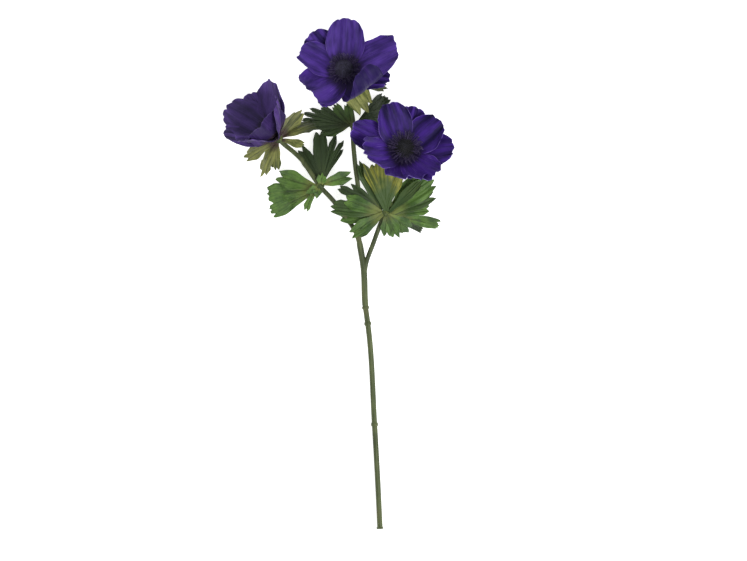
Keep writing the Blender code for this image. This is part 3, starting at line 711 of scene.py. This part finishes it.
def petal_surface(petal, draw):
    """The middle surface of a petal in its own frame, and its marks."""
    side = np.linspace(-1, 1, PETAL_ACROSS + 1)[None, :]
    out = np.linspace(0, 1, PETAL_ALONG + 1)[:, None]
    swell = np.sin(PETAL_SWELL * math.pi * out**0.75)
    half = petal.width / 2 * (PETAL_ROOT_SHARE + (1 - PETAL_ROOT_SHARE) * swell)
    scallops = abs(np.sin(math.pi * petal.ends / 2 * (side + 1) + draw.uniform(-0.4, 0.4))) ** 0.7
    scallops = scallops - SCALLOP_MIDDLE + NICK_DEPTH * wave(6.3, side, draw)
    ends = petal.depth * scallops * (1 - 0.5 * side**2) * out**7
    jut = petal.point * np.exp(-(((side - petal.point_side) / POINT_HALF) ** 2)) * out**7
    reach = 1 - PETAL_END_ROUND * abs(side) ** PETAL_END_POWER + petal.skew * side * out**2 + ends + jut
    x = side * half * (1 + SIDE_RIPPLE * wave(3.2, out, draw) * abs(side) * out)
    along = out * reach
    fold = np.cos(math.pi * petal.folds * side + petal.phase + 0.9 * out)
    fold += SECOND_FOLD * np.cos(math.pi * 1.9 * petal.folds * side + draw.uniform(0, 6))
    depth = np.clip(along * (1.3 - 0.6 * along), 0, 1)
    rise = petal.cup * along * side**2
    rise += PETAL_WAVE * along**3 * np.cos(1.5 * math.pi * side + petal.azimuth)
    rise += petal.pleat * fold * depth
    ruffle = wave(4.5, side, draw)
    ruffle += 0.6 * wave(7.3, side, draw)
    rise += petal.ruffle * ruffle * along**5
    rise += (0.5 + petal.ruffle) * wave(3.5, out, draw) * abs(side) ** 5 * out
    rise += petal.curl * np.clip((along - CURL_START) / (1 - CURL_START), 0, 1.2) ** 2
    rise += RIDGE_HEIGHT * np.cos(math.pi * RIDGES * side) * out * (1 - 0.4 * out)
    lifts = (petal.root_lift, petal.tip_lift)
    middle = bend(x, along * petal.length, petal.length, lifts, petal.late, rise)
    # painted light and shade of the folds and of the ruffled end, carried to the finish
    light = fold / (1 + SECOND_FOLD) * depth * min(1.0, petal.pleat / FULL_PLEAT)
    light += 0.25 * ruffle * petal.ruffle * along**5
    return middle, {"across": side, "along": out, "vein": light, "tone": petal.tone}


def reach_share(lifts):
    """How far forward an evenly bent blade of unit length comes."""
    root, tip = (math.radians(lift) for lift in lifts)
    share = np.linspace(0, 1, 101)
    return float(np.cos(root + (tip - root) * share).mean())


def lobe_surface(lobe, length, lifts, late, draw):
    """The middle surface of a toothed lobe in its own frame, and its marks."""
    side = np.linspace(-1, 1, lobe.teeth * TOOTH_STEPS + 1)[None, :]
    out = np.linspace(0, 1, LOBE_ALONG + 1)[:, None]
    swell = np.sin(math.pi / 2 * np.minimum(out / LOBE_WIDEST, 1.0) ** lobe.neck)
    half = lobe.width / 2 * (LOBE_ROOT + (1 - LOBE_ROOT) * swell)
    place = (side + 1) / 2 * lobe.teeth
    tooth = 1 - abs(2 * (place - np.floor(place)) - 1)
    number = np.clip(np.floor(place), 0, lobe.teeth - 1).astype(int)
    sizes = np.array([draw.uniform(*TOOTH_SIZES) for _ in range(lobe.teeth)])
    blunt = LOBE_END_ROUND * lobe.width / length
    depth = TOOTH_DEPTH * lobe.width / lobe.teeth / length
    teeth = depth * (tooth**0.85 * sizes[number] - 0.6) * out**3
    along = out * (1 - blunt * abs(side) ** LOBE_END_POWER + teeth)
    ripple = LOBE_RIPPLE * np.sin(9 * out + draw.uniform(0, 6)) * abs(side)
    x = side * half * (1 + ripple) + lobe.sweep * length * along**2
    vein = np.exp(-((side * half / (VEIN_HALF * (1.2 - out))) ** 2))
    for k in range(lobe.teeth):
        tip = 2 * (k + 0.5) / lobe.teeth - 1
        leave = np.clip((out - 0.15 - 0.3 * (1 - abs(tip))) / 0.85, 0, 1) ** 0.8
        rib = np.exp(-(((side - tip * leave) * half / (RIB_HALF * (1.2 - out))) ** 2))
        vein = np.maximum(vein, RIB_SHARE * rib * (leave > 0))
    size = length / LOBE_LENGTH
    rise = lobe.keel * abs(side) ** 1.2 * half * swell
    wobble = wave(2.2, side, draw)
    wobble += 0.5 * wave(5.3, side, draw)
    rise += LOBE_WOBBLE * size * wobble * along**2
    rise += LOBE_TWIST * size * wave(2.6, out, draw) * side**3 * out
    rise -= VEIN_DEPTH * vein * (1 - 0.5 * out)
    middle = bend(x, along * length, length, lifts, late, rise)
    return middle, {"across": side, "along": out, "vein": vein, "tone": lobe.tone}


def smooth_path(points, spacing):
    """Points about one spacing apart on a smooth curve through the given ones."""
    points = [Vector(p) for p in points]
    steps = [(b - a).length for a, b in zip(points, points[1:])]
    slopes = [(b - a) / step for a, b, step in zip(points, points[1:], steps)]
    tangents = [slopes[0]]
    for i in range(1, len(slopes)):
        share = steps[i - 1] / (steps[i - 1] + steps[i])
        tangents.append(slopes[i - 1].lerp(slopes[i], share))
    tangents.append(slopes[-1])
    path = [points[0]]
    for i, step in enumerate(steps):
        count = max(1, round(step / spacing))
        for k in range(1, count + 1):
            t = k / count
            start = points[i] * (2 * t**3 - 3 * t**2 + 1) + tangents[i] * step * (t**3 - 2 * t**2 + t)
            end = points[i + 1] * (3 * t**2 - 2 * t**3) + tangents[i + 1] * step * (t**3 - t**2)
            path.append(start + end)
    return path


def branch_paths(spacing):
    """Each bloom's branch, straight at its end where it meets the bloom."""
    paths = {}
    for bloom in BLOOMS:
        seat = Vector(bloom.seat)
        axis = Vector(bloom.axis).normalized()
        end = [seat - axis * back for back in (STRAIGHT_END, STRAIGHT_END / 2, GAP)]
        paths[bloom.name] = smooth_path(BRANCHES[bloom.name] + end, spacing)
    return paths


def frame_of(centre, x, y, z):
    """A frame at a centre, from its three axes."""
    return Matrix.Translation(centre) @ Matrix((x, y, z)).transposed().to_4x4()


def frame_at(centre, direction):
    """A frame whose z axis is the direction, which isn't upright, with its x axis level."""
    z = direction.normalized()
    x = z.cross(UP).normalized()
    return frame_of(centre, x, z.cross(x), z)


def nearest_on(path, place):
    """The path's nearest point to a place, and its direction there."""
    best = min(range(1, len(path) - 1), key=lambda i: (path[i] - Vector(place)).length)
    return path[best], (path[best + 1] - path[best - 1]).normalized()


def band(sides, below, above):
    """Faces between two rings of points, from the numbers that the rings start at."""
    faces = []
    for k in range(sides):
        after = (k + 1) % sides
        faces.append((below + k, below + after, above + after, above + k))
    return faces


def add_turned(shell, profile, sides, matrix, slot, lobes=0, lobe_depth=0.0, closed=False):
    """A solid turned from (radius, height) pairs; lobes ripple its radius round the axis."""
    turns = np.arange(sides) / sides * math.tau
    rings = []
    for radius, height in profile:
        ripple = radius * (1 + lobe_depth * np.cos(lobes * turns))
        ring = [ripple * np.cos(turns), ripple * np.sin(turns), 0 * turns + height]
        rings.append(np.stack(ring, axis=-1))
    faces = []
    count = len(profile)
    for ring in range(count if closed else count - 1):
        faces += band(sides, ring * sides, (ring + 1) % count * sides)
    if not closed:
        faces.append(tuple(reversed(range(sides))))
        faces.append(tuple(range((count - 1) * sides, count * sides)))
    shell.add(placed(matrix, np.concatenate(rings)), faces, [slot] * len(faces), {})


def add_sheath(shell, centre, axis, half):
    """The sheath that holds a whorl on its branch, with a lobed outside."""
    profile = [(radius, half * share) for radius, share in SHEATH_PROFILE]
    seat = frame_at(centre, axis)
    add_turned(shell, profile, SHEATH_SIDES, seat, SHEATH_SLOT, SHEATH_LOBES, SHEATH_LOBE_DEPTH, True)


def add_leaf(shell, lobe, centre, axis, draw):
    """One lobe of a whorl, rooted round a place on its branch."""
    bearing = math.radians(lobe.bearing)
    forward = Vector((math.cos(bearing), math.sin(bearing), 0))
    outwards = forward + UP * lobe.over
    outwards -= axis * outwards.dot(axis)
    root = centre + outwards.normalized() * LEAF_ROOT_RADIUS
    beside = Vector((forward.y, -forward.x, 0))
    pitches = zip((lobe.root_pitch, lobe.tip_pitch), PITCH_DRAWS)
    lifts = [pitch + draw.uniform(-most, most) for pitch, most in pitches]
    length = (lobe.reach - (root - centre).dot(forward)) / reach_share(lifts)
    middle, marks = lobe_surface(lobe, length, lifts, 1.0, draw)
    add_blade(shell, placed(frame_of(root, beside, forward, UP), middle), LEAF_THICK, marks)


def bloom_frame(bloom):
    """The bloom's own frame at its seat: z along its axis, y towards the far side."""
    z = Vector(bloom.axis).normalized()
    level = Vector((z.x, z.y, 0)).normalized()
    y = (level - z * level.dot(z)).normalized()
    x = y.cross(z)
    return frame_of(Vector(bloom.seat), x, y, z)


def kept(made, node):
    """Says which CAD node a finished piece stands for and what it rides on."""
    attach(made, "root")
    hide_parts(node)
    return made


def blade_turn(azimuth, radius, height):
    """Where a blade grows in its bloom's frame, on a circle round the axis."""
    turn = Matrix.Rotation(math.radians(azimuth - 90), 4, "Z")
    return turn @ Matrix.Translation((0, radius, height))


def build_petals(bloom):
    """The petals of a bloom on their receptacle."""
    shell = Shell()
    seat = bloom_frame(bloom)
    draw = random.Random(bloom.name + " petals")
    add_turned(shell, RECEPTACLE_PROFILE, RECEPTACLE_SIDES, seat, 1)
    for petal in bloom.petals:
        root = blade_turn(petal.azimuth, PETAL_ROOT_RADIUS, LAYER_HEIGHTS[petal.layer])
        middle, marks = petal_surface(petal, draw)
        add_blade(shell, placed(seat @ root, middle), PETAL_THICK, marks)
    finishes = both_sides(petal_finish, bloom.name + "_petal", PETAL_COLOURS)
    made = shell.finished(bloom.name + "_bloom_petals", finishes)
    return kept(made, bloom.name + "_petals")


def build_bracts(bloom, finishes):
    """The bracts under a bloom on their sheath."""
    shell = Shell()
    seat = bloom_frame(bloom)
    draw = random.Random(bloom.name + " bracts")
    axis = seat.to_3x3() @ UP
    add_sheath(shell, seat @ Vector((0, 0, -BRACT_DROP)), axis, BRACT_SHEATH_HALF)
    for bract in bloom.bracts:
        root = blade_turn(bract.azimuth, LEAF_ROOT_RADIUS, -BRACT_DROP)
        width = 2 * bract.length * math.sin(math.radians(bract.spread)) * BRACT_WIDTH
        sweep = draw.uniform(-BRACT_SWEEP, BRACT_SWEEP)
        lobe = Lobe(0, 0, width, BRACT_TEETH, 0, 0, bract.tone, sweep=sweep, keel=BRACT_KEEL)
        lifts = (bract.root_lift, bract.tip_lift)
        middle, marks = lobe_surface(lobe, bract.length, lifts, BRACT_LATE, draw)
        add_blade(shell, placed(seat @ root, middle), LEAF_THICK, marks)
    made = shell.finished(bloom.name + "_bloom_bracts", finishes)
    return kept(made, bloom.name + "_bracts")


def build_whorl(piece, place, lobes, half, finishes, drop=0.0):
    """Leaves round a place on a branch with a sheath there; drop sets their roots further back."""
    shell = Shell()
    centre, axis = place
    draw = random.Random(piece)
    add_sheath(shell, centre, axis, half)
    for lobe in lobes:
        add_leaf(shell, lobe, centre - axis * drop, axis, draw)
    return shell.finished(piece, finishes)


# ======== geometry nodes
class Recipe(Graph):
    """A Geometry Nodes tree with named inputs, run on carrier meshes."""

    def __init__(self, name, inputs):
        super().__init__(bpy.data.node_groups.new(name, "GeometryNodeTree"))
        self.keys = {}
        face = self.tree.interface
        for label, kind in {"Geometry": "Geometry", **inputs}.items():
            made = face.new_socket(label, in_out="INPUT", socket_type="NodeSocket" + kind)
            self.keys[label] = made.identifier
        face.new_socket("Geometry", in_out="OUTPUT", socket_type="NodeSocketGeometry")
        self.start = self.add("NodeGroupInput")
        self.end = self.add("NodeGroupOutput")

    def given(self, label):
        return Wire(self, self.start.outputs[label])

    def moved(self, shape, position):
        values = {"Geometry": shape, "Position": position}
        return self.node("GeometryNodeSetPosition", values=values)

    def skinned(self, shape, skin):
        """The shape as plain mesh, in the material of that input."""
        shape = self.node("GeometryNodeRealizeInstances", values={"Geometry": shape})
        values = {"Geometry": shape, "Material": self.given(skin)}
        return self.node("GeometryNodeSetMaterial", values=values)

    def result(self, wire):
        self.feed(self.end.inputs["Geometry"], wire)

    def run(self, carrier, values):
        """The plain mesh that the tree makes from the carrier with these values."""
        modifier = carrier.modifiers.new("recipe", "NODES")
        modifier.node_group = self.tree
        for label, value in values.items():
            modifier[self.keys[label]] = value
        graph = bpy.context.evaluated_depsgraph_get()
        mesh = bpy.data.meshes.new_from_object(carrier.evaluated_get(graph))
        carrier.modifiers.remove(modifier)
        return mesh


def stem_recipe():
    """Turns a line whose points carry a thickness into a finely ribbed tube with closed ends."""
    inputs = {"Sides": "Int", "Ribs": "Int", "Rib depth": "Float", "Skin": "Material"}
    made = Recipe("ribbed_stem", inputs)
    line = made.node("GeometryNodeMeshToCurve", values={"Mesh": made.given("Geometry")})
    named = {"Name": "thickness"}
    thickness = made.node("GeometryNodeInputNamedAttribute", {"data_type": "FLOAT"}, named)
    values = {"Resolution": made.given("Sides"), "Radius": 1.0}
    ring = made.node("GeometryNodeCurvePrimitiveCircle", values=values)
    turn = made.node("GeometryNodeInputIndex") * math.tau / made.given("Sides")
    depth = 1 + made.given("Rib depth") * made.math("COSINE", turn * made.given("Ribs"))
    values = {"Vector": made.node("GeometryNodeInputPosition"), "Scale": depth}
    ring = made.moved(ring, made.node("ShaderNodeVectorMath", {"operation": "SCALE"}, values))
    values = {"Curve": line, "Profile Curve": ring, "Scale": thickness, "Fill Caps": True}
    made.result(made.skinned(made.node("GeometryNodeCurveToMesh", values=values), "Skin"))
    return made


def joint_bulge(place):
    """How much of a ring joint's height the stem has at this distance up it."""
    nearest = min(abs(place - joint) for joint in JOINTS)
    return min(1.0, max(0.0, JOINT_REACH - nearest)) ** JOINT_ROUND


def build_stem(paths, skin):
    """The main stem with its ring joints, the thicker piece under the forks and the branches."""
    main = smooth_path(MAIN_STEM, STEM_STEP / 2)
    fork = smooth_path(FORK_STEM, STEM_STEP)
    height = JOINT_RADIUS - MAIN_RADIUS
    lines = [(main, [MAIN_RADIUS + height * joint_bulge(point.y) for point in main])]
    radii = []
    for i in range(len(fork)):
        grown = min(i, len(fork) - 1 - i) / FORK_END_STEPS
        radii.append(FORK_RADIUS * min(1.0, FORK_END_SHARE + (1 - FORK_END_SHARE) * grown))
    lines.append((fork, radii))
    for path in paths.values():
        lines.append((path, [BRANCH_RADIUS] * len(path)))
    recipe = stem_recipe()
    values = {"Sides": STEM_SIDES, "Ribs": STEM_RIBS, "Rib depth": STEM_RIB_DEPTH, "Skin": skin}
    meshes = []
    for path, radii in lines:
        points = (np.array([tuple(p) for p in path]) + LAYOUT_START) * MM
        mesh = bpy.data.meshes.new("stem_line")
        mesh.from_pydata(points.tolist(), [(i, i + 1) for i in range(len(points) - 1)], [])
        layer = mesh.attributes.new("thickness", "FLOAT", "POINT")
        layer.data.foreach_set("value", np.array(radii, np.float32) * MM)
        carrier = added("stem_line", mesh)
        meshes.append(recipe.run(carrier, values))
        bpy.data.objects.remove(carrier)
    return kept(joined("branching_stem", meshes, skin), "stem")


def joined(name, meshes, skin):
    """One object of several meshes in one finish, pressed flat where they would pass the table."""
    shell = Shell()
    for mesh in meshes:
        points = np.empty(len(mesh.vertices) * 3)
        mesh.vertices.foreach_get("co", points)
        points = points.reshape(-1, 3) / MM - LAYOUT_START
        points[:, 2] = np.maximum(points[:, 2], 0.0)
        faces = [tuple(face.vertices) for face in mesh.polygons]
        turn = np.arctan2(points[:, 0] - points[:, 0].mean(), points[:, 2])
        shell.add(points, faces, [0] * len(faces), {"along": points[:, 1], "across": turn})
    return shell.finished(name, [skin], sharp=40)


def bead_mesh(sides, profile):
    """A closed bead from (radius, height) pairs between two poles, in millimetres."""
    points = [(0, 0, profile[0][1])]
    for radius, height in profile[1:-1]:
        for k in range(sides):
            turn = math.tau * k / sides
            points.append((radius * math.cos(turn), radius * math.sin(turn), height))
    points.append((0, 0, profile[-1][1]))
    faces = [(0, 1 + (k + 1) % sides, 1 + k) for k in range(sides)]
    low = 1
    for _ in range(len(profile) - 3):
        faces += band(sides, low, low + sides)
        low += sides
    last = len(points) - 1
    faces += [(low + k, low + (k + 1) % sides, last) for k in range(sides)]
    return points, faces


def stamen_mesh(reach, rise):
    """A bent thread from the dome's foot outwards with a long bead on its end, in millimetres."""
    points = []
    for station in range(THREAD_STATIONS):
        t = station / (THREAD_STATIONS - 1)
        radius = THREAD_START + (reach - THREAD_START) * t
        height = THREAD_FOOT + (rise - THREAD_FOOT) * (1 - (1 - t) ** 2)
        for k in range(THREAD_SIDES):
            turn = math.tau * k / THREAD_SIDES
            lift = THREAD_HALF * math.sin(turn)
            points.append((radius - lift * THREAD_TILT, THREAD_HALF * math.cos(turn), height + lift))
    top = (THREAD_STATIONS - 1) * THREAD_SIDES
    faces = [tuple(range(THREAD_SIDES))]
    for low in range(0, top, THREAD_SIDES):
        faces += [tuple(reversed(face)) for face in band(THREAD_SIDES, low, low + THREAD_SIDES)]
    faces.append(tuple(reversed(range(top, top + THREAD_SIDES))))
    bead, bead_faces = bead_mesh(BEAD_SIDES, ANTHER_PROFILE)
    start = len(points)
    for x, y, z in bead:
        out, up = (z * long + x * wide for long, wide in zip(ANTHER_ALONG, ANTHER_ACROSS))
        points.append((reach + out, y, rise + up))
    faces += [tuple(start + corner for corner in face) for face in bead_faces]
    return points, faces


def loose_object(name, points, faces):
    """An object of a shape that a recipe repeats or dresses, in metres at the origin."""
    mesh = bpy.data.meshes.new(name)
    mesh.from_pydata([Vector(p) * MM for p in points], [], faces)
    mesh.shade_smooth()
    return added(name, mesh)


def heart_recipe():
    """A dome covered in a spiral of grains, with a crowd of stamens round it."""
    inputs = {
        "Grain": "Object",
        "Grains": "Int",
        "Dome radius": "Float",
        "Dome height": "Float",
        "Dome base": "Float",
        "Stamen": "Object",
        "Stamens": "Int",
        "Seed": "Int",
        "Dome skin": "Material",
        "Stamen skin": "Material",
    }
    made = Recipe("bloom_heart", inputs)
    index = made.node("GeometryNodeInputIndex")

    def draw(low, high, offset):
        # sockets 2 and 3 take the ends of a number's range
        values = {2: low, 3: high, "Seed": made.given("Seed") + offset}
        return made.node("FunctionNodeRandomValue", {"data_type": "FLOAT"}, values, output=1)

    def places(count):
        values = {"Count": made.given(count), "Offset": (0, 0, 0)}
        return made.node("GeometryNodeMeshLine", values=values)

    def crowd(points, shape, turns, size, skin):
        picked = {"Object": made.given(shape), "As Instance": True}
        shape = made.node("GeometryNodeObjectInfo", values=picked, output="Geometry")
        values = {"Points": points, "Instance": shape, "Rotation": turns}
        values["Scale"] = made.vector(size, size, size)
        return made.skinned(made.node("GeometryNodeInstanceOnPoints", values=values), skin)

    share = (index + 0.5 + draw(-0.8, 0.8, 4)) / made.given("Grains")
    tilt = made.math("ARCCOSINE", 1 - made.math("MAXIMUM", share, 0.001) * GRAINS_SPREAD)
    turn = index * GOLDEN_TURN + draw(-0.06, 0.06, 5)
    flat = made.math("SINE", tilt) * made.given("Dome radius")
    spot = made.vector(
        flat * made.math("COSINE", turn),
        flat * made.math("SINE", turn),
        made.math("COSINE", tilt) * made.given("Dome height") + made.given("Dome base"),
    )
    dots = made.moved(places("Grains"), spot)
    grains = crowd(dots, "Grain", made.vector(0.0, tilt, turn), draw(0.7, 1.15, 6), "Dome skin")

    ring = index % STAMEN_RINGS
    lean = (ring - (STAMEN_RINGS - 1) / 2) * RING_LEAN + draw(-0.12, 0.12, 1)
    size = SHORTEST_STAMEN + ring * RING_GROWTH + draw(-0.06, 0.06, 2)
    turn = index * GOLDEN_TURN + draw(-0.15, 0.15, 3)
    turns = made.vector(draw(-0.2, 0.2, 7), lean, turn)
    stamens = crowd(places("Stamens"), "Stamen", turns, size, "Stamen skin")

    dome = made.skinned(made.given("Geometry"), "Dome skin")
    both = made.add("GeometryNodeJoinGeometry")
    for part in (stamens, grains, dome):
        made.feed(both.inputs["Geometry"], part)
    made.result(Wire(made, both.outputs["Geometry"]))
    return made


def build_heart(bloom, recipe, stamen_skin):
    """The dark knobbly dome with its stamens."""
    base = RECEPTACLE_HEIGHT + GAP
    cap_base = base + DOME_CAP_START
    cap_radius = bloom.dome * DOME_CAP_SHARE
    profile = [(0.0, base), (DOME_FOOT_RADIUS, base)]
    profile += [(bloom.dome * share, base + height) for share, height in DOME_FLARE]
    for k in range(DOME_STEPS):
        turn = math.pi / 2 * k / DOME_STEPS
        profile.append((cap_radius * math.cos(turn), cap_base + DOME_HEIGHT * math.sin(turn)))
    profile.append((0.0, cap_base + DOME_HEIGHT))
    carrier = loose_object("dome", *bead_mesh(DOME_SIDES, profile))
    grain = loose_object("grain", *bead_mesh(BEAD_SIDES, GRAIN_PROFILE))
    stamen = loose_object("stamen", *stamen_mesh(bloom.stamen_reach, base + bloom.stamen_rise))
    values = {
        "Grain": grain,
        "Grains": GRAINS,
        "Dome radius": cap_radius * MM,
        "Dome height": DOME_HEIGHT * MM,
        "Dome base": cap_base * MM,
        "Stamen": stamen,
        "Stamens": STAMENS,
        "Seed": HEART_SEED,
        "Dome skin": heart_finish(bloom.name + "_dome_skin"),
        "Stamen skin": stamen_skin,
    }
    mesh = recipe.run(carrier, values)
    for helper in (carrier, grain, stamen):
        bpy.data.objects.remove(helper)
    seat = bloom_frame(bloom)
    seat.translation = (seat.translation + Vector(LAYOUT_START)) * MM
    mesh.transform(seat)
    mesh.name = bloom.name + "_bloom_heart"
    return kept(added(mesh.name, mesh), bloom.name + "_centre")


# ======== stage
def build_stage():
    """A pale table, soft light from all round, a key light and a wider fill."""
    corners = [(-1, -1), (1, -1), (1, 1), (-1, 1)]
    mesh = bpy.data.meshes.new("table")
    points = [(x * TABLE_HALF, y * TABLE_HALF, TABLE_LEVEL) for x, y in corners]
    mesh.from_pydata(points, [], [(0, 1, 2, 3)])
    finish = Finish("pale_table", 0.9, 0.0)
    finish.wear({"Base Color": TABLE_COLOUR, "Emission Color": WHITE, "Emission Strength": TABLE_GLOW})
    mesh.materials.append(finish.material)
    added("table", mesh)

    world = bpy.data.worlds.new("studio")
    bpy.context.scene.world = world
    world.use_nodes = True
    sky = world.node_tree.nodes["Background"]
    sky.inputs["Color"].default_value = WHITE
    sky.inputs["Strength"].default_value = SKY_STRENGTH
    area_light(*KEY_LIGHT)
    area_light(*FILL_LIGHT)


def area_light(name, place, side, power):
    light = bpy.data.lights.new(name, "AREA")
    light.shape = "SQUARE"
    light.size = side
    light.energy = power
    made = added(name, light)
    made.location = place
    aim = Vector(LIGHT_TARGET) - Vector(place)
    made.rotation_euler = aim.to_track_quat("-Z", "Y").to_euler()


def build_camera():
    """Looks straight down from far off, so that raised blooms keep their size."""
    lens = bpy.data.cameras.new("camera")
    lens.sensor_width = SENSOR_WIDTH
    lens.lens = SENSOR_WIDTH * (CAMERA_PLACE[2] - VIEW_HEIGHT) / VIEW_WIDTH
    made = added("camera", lens)
    made.location = CAMERA_PLACE
    bpy.context.scene.camera = made


def main():
    bpy.context.scene.view_settings.view_transform = "Standard"
    sheath = sheath_finish()
    greens = both_sides(leaf_finish, "leaf", LEAF_COLOURS) + [sheath]
    yellows = both_sides(bract_finish, "bract", BRACT_COLOURS) + [sheath]
    sunny = both_sides(bract_finish, "sunny_bract", BRACT_COLOURS) + [sheath]

    build_stem(branch_paths(STEM_STEP), stem_finish())
    paths = branch_paths(PLACING_STEP)
    for name, branch_point, lobes in WHORLS:
        place = nearest_on(paths[name], BRANCHES[name][branch_point])
        made = build_whorl(name + "_whorl_leaves", place, lobes, SHEATH_HALF, greens)
        kept(made, name + "_leaves")
    place = nearest_on(paths["right"], RIGHT_BRACT_PLACE)
    half = BRACT_SHEATH_HALF
    made = build_whorl("right_bloom_bracts", place, RIGHT_BRACT_LEAVES, half, sunny, RIGHT_BRACT_DROP)
    kept(made, "right_bracts")

    recipe = heart_recipe()
    stamen_skin = heart_finish("stamen_skin")
    for bloom in BLOOMS:
        build_petals(bloom)
        build_heart(bloom, recipe, stamen_skin)
        if bloom.bracts:
            build_bracts(bloom, yellows)
    build_stage()
    build_camera()


main()
